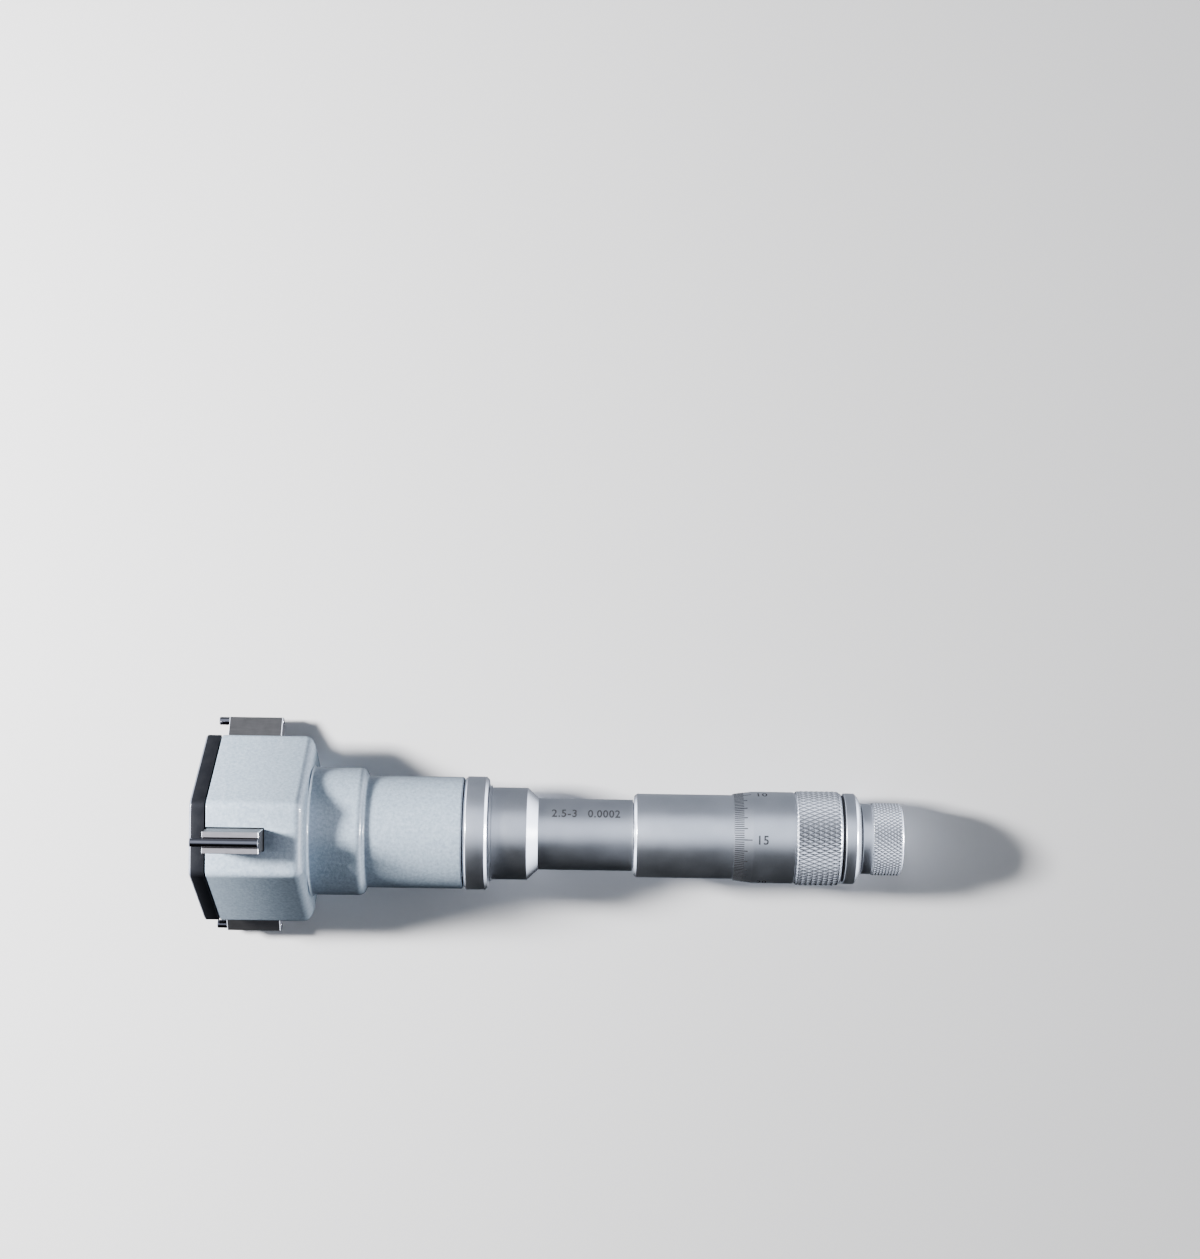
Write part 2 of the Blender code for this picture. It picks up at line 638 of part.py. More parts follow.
def build_measuring_cone(parts, steel):
    """The hardened cone that spreads the anvils, with a socket for the push rod."""
    socket_front = CONE_REAR - CONE_SOCKET_DEPTH
    socket_radius = ROD_SPIGOT_RADIUS + FIT_GAP
    profile = [
        (CONE_TIP, 0.0),
        (CONE_TIP, CONE_TIP_RADIUS - CONE_TIP_CHAMFER),
        (CONE_TIP + CONE_TIP_CHAMFER, CONE_TIP_RADIUS + CONE_TIP_CHAMFER * CONE_SLOPE),
        (CONE_SHOULDER, CONE_RADIUS),
        (CONE_REAR, CONE_RADIUS),
        (CONE_REAR, socket_radius),
        (socket_front, socket_radius),
        (socket_front, 0.0),
    ]
    return turned("measuring_cone", profile, parts, steel)


def build_push_rod(parts, steel, spring_steel):
    """The rod from the cone to the spindle, its guide bush, return spring and thrust ball."""
    socket_floor = BALL_CENTRE - BALL_RADIUS - FIT_GAP
    socket_radius = BALL_RADIUS + FIT_GAP
    step = CONE_REAR + FIT_GAP
    profile = [
        (ROD_FRONT, 0.0),
        (ROD_FRONT, ROD_SPIGOT_RADIUS),
        (step, ROD_SPIGOT_RADIUS),
        (step, ROD_RADIUS),
        (ROD_COLLAR_FRONT, ROD_RADIUS),
        (ROD_COLLAR_FRONT, ROD_COLLAR_RADIUS),
        (ROD_COLLAR_REAR, ROD_COLLAR_RADIUS),
        (ROD_COLLAR_REAR, ROD_RADIUS),
        (ROD_REAR, ROD_RADIUS),
        (ROD_REAR, socket_radius),
        (socket_floor, socket_radius),
        (socket_floor, 0.0),
    ]
    turned("push_rod", profile, parts, steel, INNER_SEGMENTS)

    turned("guide_bush",
           straight_bore(BUSH_FRONT, BUSH_REAR, HEAD_BORE_RADIUS - FIT_GAP),
           parts, steel, INNER_SEGMENTS,
           straight_bore(BUSH_FRONT, BUSH_REAR, ROD_RADIUS + ROD_GUIDE_GAP))

    bm = bmesh.new()
    bmesh.ops.create_uvsphere(bm, u_segments=SMALL_SEGMENTS, v_segments=SMALL_SEGMENTS // 2,
                              radius=BALL_RADIUS)
    ball = new_object("thrust_ball", mesh_from(bm, "thrust_ball"), parts, steel)
    ball.location.x = BALL_CENTRE

    spring = coil_spring("rod_return_spring", parts, spring_steel, ROD_SPRING_RADIUS,
                         ROD_SPRING_WIRE, ROD_SPRING_TURNS, ROD_SPRING_LENGTH)
    spring.location.x = ROD_SPRING_FRONT
    spring.rotation_euler.y = math.pi / 2.0


def build_frame_tube(parts, chrome):
    """The lock ring and the tube that joins the head to the scale."""
    turned("lock_ring",
           chamfered(LOCK_RING_FRONT, LOCK_RING_REAR, LOCK_RING_RADIUS, LOCK_RING_CHAMFER),
           parts, chrome, OUTER_SEGMENTS,
           straight_bore(LOCK_RING_FRONT, LOCK_RING_REAR, TUBE_SPIGOT_RADIUS + FIT_GAP))

    outer = [
        (TUBE_FRONT, TUBE_SPIGOT_RADIUS),
        (COLLAR_FRONT, TUBE_SPIGOT_RADIUS),
        (COLLAR_FRONT, COLLAR_LIP_RADIUS),
        (COLLAR_LIP_REAR, COLLAR_LIP_RADIUS),
        (COLLAR_LIP_REAR, COLLAR_RADIUS),
        (COLLAR_REAR, COLLAR_RADIUS),
        (TUBE_THIN_FRONT, TUBE_RADIUS),
        (TUBE_REAR, TUBE_RADIUS),
        (TUBE_REAR, CORE_RADIUS),
        (CORE_REAR, CORE_RADIUS),
    ]
    bore = [
        (TUBE_FRONT, TUBE_CHAMBER_RADIUS),
        (CHAMBER_REAR, TUBE_CHAMBER_RADIUS),
        (CHAMBER_REAR, TUBE_BORE_RADIUS),
        (NUT_SEAT_FRONT, TUBE_BORE_RADIUS),
        (NUT_SEAT_FRONT, NUT_RADIUS + FIT_GAP),
        (CORE_REAR, NUT_RADIUS + FIT_GAP),
    ]
    turned("frame_tube", outer, parts, chrome, OUTER_SEGMENTS, bore)


def build_scale_sleeve(parts, cutters, chrome, steel):
    """The sleeve that carries the scale, with its slotted adjusting screw."""
    sleeve = turned("scale_sleeve",
                    [
                        (SLEEVE_FRONT, SLEEVE_RADIUS - SLEEVE_CHAMFER),
                        (SLEEVE_FRONT + SLEEVE_CHAMFER, SLEEVE_RADIUS),
                        (SLEEVE_REAR, SLEEVE_RADIUS),
                    ],
                    parts, chrome, OUTER_SEGMENTS,
                    straight_bore(SLEEVE_FRONT, SLEEVE_REAR, SLEEVE_BORE_RADIUS))

    station = SLEEVE_FRONT + SLEEVE_SCREW_STATION
    about_axis = Matrix.Rotation(SLEEVE_SCREW_ANGLE, 4, "X")
    upright = Matrix.Rotation(-math.pi / 2.0, 4, "Y")
    hole = cylinder_cutter("sleeve_screw_hole", cutters, SLEEVE_SCREW_RADIUS + FIT_GAP,
                           CORE_RADIUS / 2.0, 2.0 * SLEEVE_RADIUS)
    hole.matrix_world = about_axis @ Matrix.Translation((station, 0.0, 0.0)) @ upright
    cut(sleeve, hole)

    top = SLEEVE_BORE_RADIUS + SLEEVE_SCREW_LENGTH
    screw = turned("adjusting_screw",
                   solid_profile(chamfered(SLEEVE_BORE_RADIUS, top, SLEEVE_SCREW_RADIUS,
                                           SLEEVE_SCREW_RADIUS * 0.15)),
                   parts, steel, SMALL_SEGMENTS)
    screw.matrix_world = about_axis @ Matrix.Translation((station, 0.0, 0.0)) @ upright
    bm = bmesh.new()
    bmesh.ops.create_cube(bm, size=1.0)
    slot_size = (4.0 * SLEEVE_SCREW_RADIUS, SLEEVE_SCREW_SLOT, 2.0 * SLEEVE_SCREW_SLOT)
    bmesh.ops.scale(bm, vec=slot_size, verts=bm.verts)
    slot = new_object("adjusting_screw_slot", mesh_from(bm, "adjusting_screw_slot"), cutters)
    slot.matrix_world = about_axis @ Matrix.Translation((station, 0.0, top))
    cut(screw, slot)


def build_spindle_nut(parts, steel):
    """The nut of the measuring thread and the plug that takes up its wear."""
    turned("spindle_nut",
           straight_bore(NUT_FRONT, NUT_REAR, NUT_RADIUS), parts, steel, INNER_SEGMENTS,
           straight_bore(NUT_FRONT, NUT_REAR, NUT_BORE_RADIUS))
    turned("nut_adjuster",
           [
               (ADJUSTER_FRONT, NUT_RADIUS),
               (ADJUSTER_FLANGE_FRONT, NUT_RADIUS),
               (ADJUSTER_FLANGE_FRONT, CORE_RADIUS),
               (ADJUSTER_REAR, CORE_RADIUS),
           ],
           parts, steel, INNER_SEGMENTS,
           straight_bore(ADJUSTER_FRONT, ADJUSTER_REAR, NUT_BORE_RADIUS))


def build_spindle(parts, steel):
    """The spindle: tip, measuring thread, flange, hub and the end that carries the ratchet."""
    thread_front = NUT_FRONT - CONE_RETREAT - END_PLAY
    thread_rear = NUT_REAR + CONE_ADVANCE + END_PLAY
    flange_rear = THIMBLE_WEB_FRONT - FIT_GAP
    flange_front = flange_rear - SPINDLE_FLANGE_LENGTH
    hole_radius = RATCHET_SCREW_RADIUS + FIT_GAP
    hole_front = RATCHET_SCREW_HEAD_FRONT - RATCHET_SCREW_LENGTH - END_PLAY
    thread_chamfer = SPINDLE_THREAD_RADIUS - SPINDLE_RADIUS
    profile = [
        (SPINDLE_FRONT, 0.0),
        (SPINDLE_FRONT, SPINDLE_RADIUS - SPINDLE_TIP_CHAMFER),
        (SPINDLE_FRONT + SPINDLE_TIP_CHAMFER, SPINDLE_RADIUS),
        (thread_front, SPINDLE_RADIUS),
        (thread_front + thread_chamfer, SPINDLE_THREAD_RADIUS),
        (thread_rear - thread_chamfer, SPINDLE_THREAD_RADIUS),
        (thread_rear, SPINDLE_RADIUS),
        (flange_front, SPINDLE_RADIUS),
        (flange_front, SPINDLE_FLANGE_RADIUS),
        (flange_rear, SPINDLE_FLANGE_RADIUS),
        (flange_rear, SPINDLE_HUB_RADIUS),
        (CAP_REAR, SPINDLE_HUB_RADIUS),
        (CAP_REAR, SPINDLE_END_RADIUS),
        (SPINDLE_REAR, SPINDLE_END_RADIUS),
        (SPINDLE_REAR, hole_radius),
        (hole_front, hole_radius),
        (hole_front, 0.0),
    ]
    turned("spindle", profile, parts, steel, INNER_SEGMENTS)


def build_thimble(parts, chrome):
    """The thimble with its bevelled edge and raised grip, and the cap that clamps it."""
    hub_bore = SPINDLE_HUB_RADIUS + FIT_GAP
    outer = [
        (THIMBLE_FRONT, THIMBLE_BORE_RADIUS + THIMBLE_EDGE_WALL),
        (THIMBLE_BEVEL_REAR, THIMBLE_RADIUS),
        (THIMBLE_KNURL_FRONT, THIMBLE_RADIUS),
        (THIMBLE_KNURL_FRONT + THIMBLE_KNURL_CHAMFER, THIMBLE_KNURL_RADIUS),
        (THIMBLE_KNURL_REAR - THIMBLE_KNURL_CHAMFER, THIMBLE_KNURL_RADIUS),
        (THIMBLE_KNURL_REAR, THIMBLE_RADIUS),
        (THIMBLE_REAR, THIMBLE_RADIUS),
    ]
    bore = [
        (THIMBLE_FRONT, THIMBLE_BORE_RADIUS),
        (THIMBLE_WEB_FRONT, THIMBLE_BORE_RADIUS),
        (THIMBLE_WEB_FRONT, hub_bore),
        (THIMBLE_REAR, hub_bore),
    ]
    turned("thimble", outer, parts, chrome, OUTER_SEGMENTS, bore)

    groove_radius = CAP_RADIUS - CAP_GROOVE_DEPTH
    cap = [
        (CAP_FRONT, groove_radius),
        (CAP_LAND_FRONT, groove_radius),
        (CAP_LAND_FRONT, CAP_RADIUS),
        (CAP_LAND_REAR, CAP_RADIUS),
        (CAP_REAR, CAP_END_RADIUS),
    ]
    turned("thimble_cap", cap, parts, chrome, OUTER_SEGMENTS,
           straight_bore(CAP_FRONT, CAP_REAR, hub_bore))


def add_face_teeth(item, station, height, inner_radius, outer_radius):
    """Raise every second spoke of a flat ring face into teeth that point along -X or +X."""
    depsgraph = bpy.context.evaluated_depsgraph_get()
    mesh = bpy.data.meshes.new_from_object(item.evaluated_get(depsgraph))
    step = math.pi / RATCHET_TEETH
    for vert in mesh.vertices:
        radius = math.hypot(vert.co.y, vert.co.z)
        on_face = abs(vert.co.x - station) < FIT_GAP / 10.0
        if on_face and inner_radius < radius < outer_radius:
            spoke = int(round(math.atan2(vert.co.z, vert.co.y) / step))
            if spoke % 2:
                vert.co.x += height
    item.modifiers.clear()
    item.data = mesh
    mesh.set_sharp_from_angle(angle=math.radians(30.0))


def build_ratchet(parts, chrome, steel, spring_steel):
    """The ratchet knob with its tooth ring, the sprung pawl ring and the screw that holds them."""
    screw_hole = RATCHET_SCREW_RADIUS + FIT_GAP
    head_seat = RATCHET_SCREW_HEAD_FRONT - FIT_GAP
    segments = 2 * RATCHET_TEETH * 2
    outer = [
        (RATCHET_FRONT, RATCHET_NECK_RADIUS),
        (RATCHET_KNURL_FRONT, RATCHET_NECK_RADIUS),
        (RATCHET_KNURL_FRONT, RATCHET_KNURL_RADIUS - RATCHET_CHAMFER),
        (RATCHET_KNURL_FRONT + RATCHET_CHAMFER, RATCHET_KNURL_RADIUS),
        (RATCHET_REAR - RATCHET_CHAMFER, RATCHET_KNURL_RADIUS),
        (RATCHET_REAR, RATCHET_KNURL_RADIUS - RATCHET_CHAMFER),
    ]
    bore = [
        (RATCHET_FRONT, RATCHET_CHAMBER_RADIUS),
        (RATCHET_FLOOR, RATCHET_CHAMBER_RADIUS),
        (RATCHET_FLOOR, screw_hole),
        (head_seat, screw_hole),
        (head_seat, RATCHET_SCREW_HEAD_RADIUS + FIT_GAP),
        (RATCHET_REAR, RATCHET_SCREW_HEAD_RADIUS + FIT_GAP),
    ]
    turned("ratchet_knob", outer, parts, chrome, segments, bore)

    pawl_bore = SPINDLE_END_RADIUS + FIT_GAP
    pawl = turned("ratchet_pawl", straight_bore(PAWL_FRONT, PAWL_REAR, PAWL_RADIUS),
                  parts, steel, 2 * RATCHET_TEETH,
                  straight_bore(PAWL_FRONT, PAWL_REAR, pawl_bore))
    add_face_teeth(pawl, PAWL_REAR, RATCHET_TOOTH_HEIGHT, pawl_bore / 2.0, 2.0 * PAWL_RADIUS)

    spring = coil_spring("ratchet_spring", parts, spring_steel, RATCHET_SPRING_RADIUS,
                         RATCHET_SPRING_WIRE, RATCHET_SPRING_TURNS,
                         PAWL_FRONT - FIT_GAP - RATCHET_SPRING_FRONT)
    spring.location.x = RATCHET_SPRING_FRONT
    spring.rotation_euler.y = math.pi / 2.0

    screw_front = RATCHET_SCREW_HEAD_FRONT - RATCHET_SCREW_LENGTH
    turned("ratchet_screw",
           solid_profile([
               (screw_front, RATCHET_SCREW_RADIUS),
               (RATCHET_SCREW_HEAD_FRONT, RATCHET_SCREW_RADIUS),
               (RATCHET_SCREW_HEAD_FRONT, RATCHET_SCREW_HEAD_RADIUS),
               (RATCHET_SCREW_HEAD_REAR, RATCHET_SCREW_HEAD_RADIUS),
           ]),
           parts, steel, SMALL_SEGMENTS)


def main():
    clear_scene()
    parts = new_collection(COLLECTION_NAME)
    cutters = new_collection("cutters")

    enamel = new_material("grey_enamel", (0.52, 0.58, 0.60), 0.35, 0.0)
    black = new_material("black_finish", (0.02, 0.02, 0.022), 0.35, 0.4)
    chrome = new_material("satin_chrome", (0.66, 0.67, 0.68), 0.35, 1.0)
    ground = new_material("ground_steel", (0.45, 0.44, 0.42), 0.30, 1.0)
    hard_metal = new_material("hard_metal", (0.22, 0.22, 0.23), 0.15, 1.0)
    spring_steel = new_material("spring_steel", (0.35, 0.35, 0.36), 0.40, 1.0)

    build_end_cover(parts, cutters, black)
    build_cover_screws(parts, cutters, spring_steel)
    build_head_housing(parts, cutters, enamel)
    build_anvils(parts, cutters, ground, hard_metal, spring_steel)
    build_measuring_cone(parts, ground)
    build_push_rod(parts, ground, spring_steel)
    build_frame_tube(parts, chrome)
    build_scale_sleeve(parts, cutters, chrome, spring_steel)
    build_spindle_nut(parts, ground)
    build_spindle(parts, ground)
    build_thimble(parts, chrome)
    build_ratchet(parts, chrome, ground, spring_steel)


main()
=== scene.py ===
"""The looks of a three-point inside micrometer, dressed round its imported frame.

The frame gives every station along the measuring axis (+X, from the end cover to the ratchet). Each class
models one sub-assembly at its place in that frame and gives it its finish. All sizes are in metres.
"""

from __future__ import annotations

import json
import logging
import math
from dataclasses import dataclass, field
from enum import Enum
from typing import Callable, Dict, List, Optional, Sequence, Tuple

import bmesh
import bpy
from mathutils import Matrix, Vector

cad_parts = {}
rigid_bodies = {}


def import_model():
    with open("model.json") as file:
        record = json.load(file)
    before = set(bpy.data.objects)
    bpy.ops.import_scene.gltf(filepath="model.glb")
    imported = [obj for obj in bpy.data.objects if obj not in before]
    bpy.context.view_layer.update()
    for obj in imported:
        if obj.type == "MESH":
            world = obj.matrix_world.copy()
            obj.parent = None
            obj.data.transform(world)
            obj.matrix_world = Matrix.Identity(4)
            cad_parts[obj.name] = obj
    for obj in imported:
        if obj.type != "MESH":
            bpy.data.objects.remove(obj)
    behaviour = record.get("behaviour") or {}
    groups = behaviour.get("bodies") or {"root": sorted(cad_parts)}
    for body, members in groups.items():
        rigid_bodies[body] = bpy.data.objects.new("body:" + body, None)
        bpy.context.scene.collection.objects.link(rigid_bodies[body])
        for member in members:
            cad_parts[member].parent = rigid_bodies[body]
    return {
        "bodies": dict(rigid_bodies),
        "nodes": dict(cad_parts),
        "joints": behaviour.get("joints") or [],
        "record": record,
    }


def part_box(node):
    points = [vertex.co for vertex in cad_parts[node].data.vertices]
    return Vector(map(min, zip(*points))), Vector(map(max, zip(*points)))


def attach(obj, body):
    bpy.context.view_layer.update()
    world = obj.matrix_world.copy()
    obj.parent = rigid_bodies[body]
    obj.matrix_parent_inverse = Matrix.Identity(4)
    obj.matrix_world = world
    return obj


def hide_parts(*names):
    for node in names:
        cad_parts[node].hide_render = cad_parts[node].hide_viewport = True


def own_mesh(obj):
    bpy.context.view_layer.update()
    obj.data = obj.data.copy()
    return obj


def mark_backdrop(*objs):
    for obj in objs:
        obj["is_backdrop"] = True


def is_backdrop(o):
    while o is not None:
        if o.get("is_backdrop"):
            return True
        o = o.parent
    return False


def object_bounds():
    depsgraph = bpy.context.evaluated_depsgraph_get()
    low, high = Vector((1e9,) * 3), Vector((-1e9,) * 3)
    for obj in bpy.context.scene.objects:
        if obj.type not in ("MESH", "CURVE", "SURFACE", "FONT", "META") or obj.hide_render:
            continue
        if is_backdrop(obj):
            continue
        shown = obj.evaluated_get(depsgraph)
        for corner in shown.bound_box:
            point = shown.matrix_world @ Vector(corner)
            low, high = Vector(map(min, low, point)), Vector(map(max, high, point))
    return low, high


Point = Tuple[float, float]
Colour = Tuple[float, float, float]
Place = Tuple[float, float, float]
Reach = Callable[[float], float]
Wanted = Callable[[Vector, Vector], bool]
Object = bpy.types.Object

MM = 0.001
FULL_TURN = 2.0 * math.pi
UP_TURN = math.pi / 2.0
ROUND_SIDES = 144
SMALL_SIDES = 48
CUT_PAST = 1.0 * MM
SAME_POINT = 0.001 * MM
THIMBLE_GRIP_RADIUS = 12.5 * MM
THIMBLE_KNURL_DEPTH = 0.36 * MM
RATCHET_GRIP_RADIUS = 9.6 * MM
RATCHET_KNURL_DEPTH = 0.26 * MM
LOG = logging.getLogger("inside_micrometer")


class Side(Enum):
    """The three anvils, by where they point when the instrument lies down."""

    TOP = "top"
    REAR = "rear"
    FRONT = "front"

    @property
    def turn(self) -> float:
        """Turn about the measuring axis from straight up, in radians."""
        return {"top": 0.0, "rear": -FULL_TURN / 3.0, "front": FULL_TURN / 3.0}[self.value]


# Shader maths


class Signal:
    """A shader socket that takes part in Python arithmetic."""

    def __init__(self, graph: "Graph", socket: bpy.types.NodeSocket) -> None:
        """Wrap an output socket of a graph."""
        self.graph = graph
        self.socket = socket

    def _math(self, operation: str, other: object = 0.0) -> "Signal":
        """Add one Math node, with a number or signal as its second value."""
        return self.graph.node("ShaderNodeMath", {"operation": operation}, {0: self, 1: other})

    def __add__(self, other: object) -> "Signal":
        """Sum with a number or signal."""
        return self._math("ADD", other)

    def __mul__(self, other: object) -> "Signal":
        """Product with a number or signal."""
        return self._math("MULTIPLY", other)

    def __pow__(self, other: float) -> "Signal":
        """This signal raised to a power."""
        return self._math("POWER", other)

    def size(self) -> "Signal":
        """This signal without its sign."""
        return self._math("ABSOLUTE")

    def at_least(self, other: object) -> "Signal":
        """The larger of this and a number or signal."""
        return self._math("MAXIMUM", other)

    def ramp(self, low: float, high: float) -> "Signal":
        """Spread the values between two limits over 0 to 1, and clamp them."""
        return self.graph.node("ShaderNodeMapRange", {"clamp": True}, {0: self, 1: low, 2: high})


class Graph:
    """A node tree that grows by Python expressions."""

    def __init__(self, tree: bpy.types.NodeTree, coordinates: str) -> None:
        """Wrap a node tree whose patterns read one kind of coordinates."""
        self.tree = tree
        self.place = self.node("ShaderNodeTexCoord", output=coordinates)

    def feed(self, socket: bpy.types.NodeSocket, value: object) -> None:
        """Link a signal to a socket, or set the socket's own value."""
        if isinstance(value, Signal):
            self.tree.links.new(value.socket, socket)
        else:
            socket.default_value = value

    def node(self, kind: str, settings: Optional[Dict[str, object]] = None,
             inputs: Optional[Dict[object, object]] = None, output: object = 0) -> Signal:
        """Add a node of any type.

        Args:
            kind: The node's type.
            settings: Properties that are set before the sockets.
            inputs: Values or signals for its sockets, by name or number.
            output: Name or number of the output that is wanted.

        Returns:
            The wanted output.
        """
        made = self.tree.nodes.new(kind)
        for key, value in (settings or {}).items():
            setattr(made, key, value)
        for key, value in (inputs or {}).items():
            self.feed(made.inputs[key], value)
        return Signal(self, made.outputs[output])

    def vector(self, operation: str, first: Signal, second: Place = (0.0, 0.0, 0.0),
               output: object = 0) -> Signal:
        """Add one Vector Math node."""
        return self.node("ShaderNodeVectorMath", {"operation": operation}, {0: first, 1: second}, output)

    def length(self, vector: Signal) -> Signal:
        """Length of a vector."""
        return self.vector("LENGTH", vector, output="Value")

    def stretched(self, along: float, across: float) -> Signal:
        """Object coordinates scaled along X, and across it."""
        return self.node("ShaderNodeMapping", {"vector_type": "POINT"},
                         {"Vector": self.place, "Scale": (along, across, across)})

    def noise(self, grain: float, detail: float = 2.0, vector: Optional[Signal] = None) -> Signal:
        """Soft noise from 0 to 1, with grains of a real size in metres and octaves of finer noise."""
        inputs = {"Vector": vector or self.place, "Scale": 1.0 / grain, "Detail": detail}
        return self.node("ShaderNodeTexNoise", {}, inputs, "Fac")

    def mix(self, factor: object, first: Colour, second: Colour) -> Signal:
        """Blend two linear colours, the first at 0 and the second at 1."""
        return self.node("ShaderNodeMix", {"data_type": "RGBA"},
                         {0: factor, 6: (*first, 1.0), 7: (*second, 1.0)}, 2)

    def bump(self, height: Signal, depth: float) -> Signal:
        """Turn a height from 0 to 1 into the normal of a relief with a real depth in metres."""
        return self.node("ShaderNodeBump", {}, {"Height": height, "Distance": depth})

    def facing(self, direction: Place) -> Signal:
        """Cosine between the coordinates and a direction of length 1."""
        return self.vector("DOT_PRODUCT", self.vector("NORMALIZE", self.place), direction, "Value")


class MaterialGraph(Graph):
    """The node tree of one material, read from the piece's own Object coordinates."""

    def __init__(self, name: str) -> None:
        """Start a named material with a Principled shader."""
        self.material = bpy.data.materials.new(name)
        self.material.use_nodes = True
        super().__init__(self.material.node_tree, "Object")
        self.shader = self.tree.nodes["Principled BSDF"]

    def dress(self, values: Dict[str, object]) -> bpy.types.Material:
        """Set the shader's sockets, by name, and return the finished material."""
        for key, value in values.items():
            self.feed(self.shader.inputs[key], (*value, 1.0) if isinstance(value, tuple) else value)
        return self.material


# Finishes


@dataclass(frozen=True)
class Enamel:
    """Baked grey enamel with a fine hammered skin over cast metal."""

    name: str = "grey_enamel"
    light: Colour = (0.510, 0.625, 0.745)
    shade: Colour = (0.330, 0.425, 0.540)
    grain: float = 0.80 * MM
    fine_grain: float = 0.30 * MM
    relief: float = 0.075 * MM

    def build(self) -> bpy.types.Material:
        """Return the material."""
        graph = MaterialGraph(self.name)
        coarse = graph.noise(self.grain, 3.0)
        fine = graph.noise(self.fine_grain, 2.0)
        skin = coarse * 0.65 + fine * 0.35
        return graph.dress({
            "Base Color": graph.mix(skin.ramp(0.36, 0.64), self.shade, self.light),
            "Roughness": fine * 0.20 + 0.24,
            "Normal": graph.bump(skin, self.relief),
            "Coat Weight": 1.0,
            "Coat Roughness": 0.07,
        })


@dataclass(frozen=True)
class SatinMetal:
    """Turned metal with a satin plating: fine rings along the axis and a soft speckle."""

    name: str
    colour: Colour = (0.70, 0.72, 0.75)
    dark: Colour = (0.62, 0.64, 0.67)
    roughness: float = 0.31
    spread: float = 0.06
    ring_pitch: float = 0.06 * MM
    ring_depth: float = 0.0012 * MM
    speckle: float = 0.22 * MM

    def build(self) -> bpy.types.Material:
        """Return the material."""
        graph = MaterialGraph(self.name)
        rings = graph.noise(self.ring_pitch, 1.0, graph.stretched(1.0, 0.01))
        speckle = graph.noise(self.speckle, 3.0)
        cloud = graph.noise(6.0 * MM, 2.0)
        return graph.dress({
            "Base Color": graph.mix((speckle * 0.5 + cloud * 0.5).ramp(0.35, 0.65), self.dark, self.colour),
            "Metallic": 1.0,
            "Roughness": rings * self.spread + (cloud * self.spread + (self.roughness - self.spread)),
            "Normal": graph.bump(rings * 0.5 + speckle * 0.5, self.ring_depth),
        })


@dataclass(frozen=True)
class KnurledMetal:
    """Plated knurl: bright on the diamonds, with painted shade darkening the bottom of its grooves."""

    name: str
    tip: float
    depth: float
    colour: Colour = (0.92, 0.93, 0.95)
    # Colour of the painted shade at the bottom of the grooves.
    groove: Colour = (0.22, 0.23, 0.25)
    roughness: float = 0.22
    speckle: float = 0.22 * MM

    def build(self) -> bpy.types.Material:
        """Return the material."""
        graph = MaterialGraph(self.name)
        radius = graph.length(graph.vector("MULTIPLY", graph.place, (0.0, 1.0, 1.0)))
        # Painted shade: the colour darkens from the diamonds down to the bottom of the grooves.
        height = radius.ramp(self.tip - self.depth, self.tip - 0.55 * self.depth)
        speckle = graph.noise(self.speckle, 3.0)
        return graph.dress({
            "Base Color": graph.mix(height, self.groove, self.colour),
            "Metallic": 1.0,
            "Roughness": speckle * 0.08 + self.roughness,
        })


@dataclass(frozen=True)
class GroundSteel:
    """Surface-ground steel with straight grinding lines and a warm tint."""

    name: str = "ground_steel"
    colour: Colour = (0.50, 0.48, 0.49)
    dark: Colour = (0.38, 0.365, 0.37)
    roughness: float = 0.34
    line_pitch: float = 0.05 * MM
    line_length: float = 4.0 * MM
    depth: float = 0.003 * MM

    def build(self) -> bpy.types.Material:
        """Return the material."""
        graph = MaterialGraph(self.name)
        lines = graph.noise(self.line_pitch, 2.0, graph.stretched(self.line_pitch / self.line_length, 1.0))
        cloud = graph.noise(2.5 * MM, 3.0)
        return graph.dress({
            "Base Color": graph.mix((lines * 0.6 + cloud * 0.4).ramp(0.35, 0.65), self.dark, self.colour),
            "Metallic": 0.95,
            "Roughness": lines * 0.14 + self.roughness,
            "Normal": graph.bump(lines, self.depth),
        })


@dataclass(frozen=True)
class HardMetal:
    """Lapped hard metal, dark and nearly a mirror."""

    name: str = "hard_metal"
    colour: Colour = (0.24, 0.24, 0.26)
    dark: Colour = (0.17, 0.17, 0.19)

    def build(self) -> bpy.types.Material:
        """Return the material."""
        graph = MaterialGraph(self.name)
        lap = graph.noise(0.12 * MM, 2.0, graph.stretched(0.05, 1.0))
        return graph.dress({
            "Base Color": graph.mix(lap, self.dark, self.colour),
            "Metallic": 1.0,
            "Roughness": lap * 0.08 + 0.10,
            "Normal": graph.bump(lap, 0.001 * MM),
        })


@dataclass(frozen=True)
class BlackOxide:
    """Blackened steel plate with a fine grain."""

    name: str = "black_finish"
    colour: Colour = (0.012, 0.013, 0.017)
    worn: Colour = (0.022, 0.023, 0.027)

    def build(self) -> bpy.types.Material:
        """Return the material."""
        graph = MaterialGraph(self.name)
        grain = graph.noise(0.18 * MM, 3.0, graph.stretched(3.0, 0.4))
        cloud = graph.noise(3.0 * MM, 2.0)
        return graph.dress({
            "Base Color": graph.mix((grain * 0.4 + cloud * 0.6).ramp(0.42, 0.7), self.colour, self.worn),
            "Metallic": 0.2,
            "Specular IOR Level": 0.25,
            "Roughness": grain * 0.12 + 0.32,
            "Normal": graph.bump(grain, 0.004 * MM),
        })


@dataclass(frozen=True)
class EngravingInk:
    """Matt black paint in the engraved lines and numbers, also laid in two grooves as painted shade."""

    name: str = "black_ink_and_shade"
    colour: Colour = (0.012, 0.012, 0.014)
    thin: Colour = (0.035, 0.035, 0.038)

    def build(self) -> bpy.types.Material:
        """Return the material."""
        graph = MaterialGraph(self.name)
        film = graph.noise(0.15 * MM, 2.0)
        return graph.dress({
            "Base Color": graph.mix(film, self.colour, self.thin),
            "Roughness": film * 0.1 + 0.5,
        })


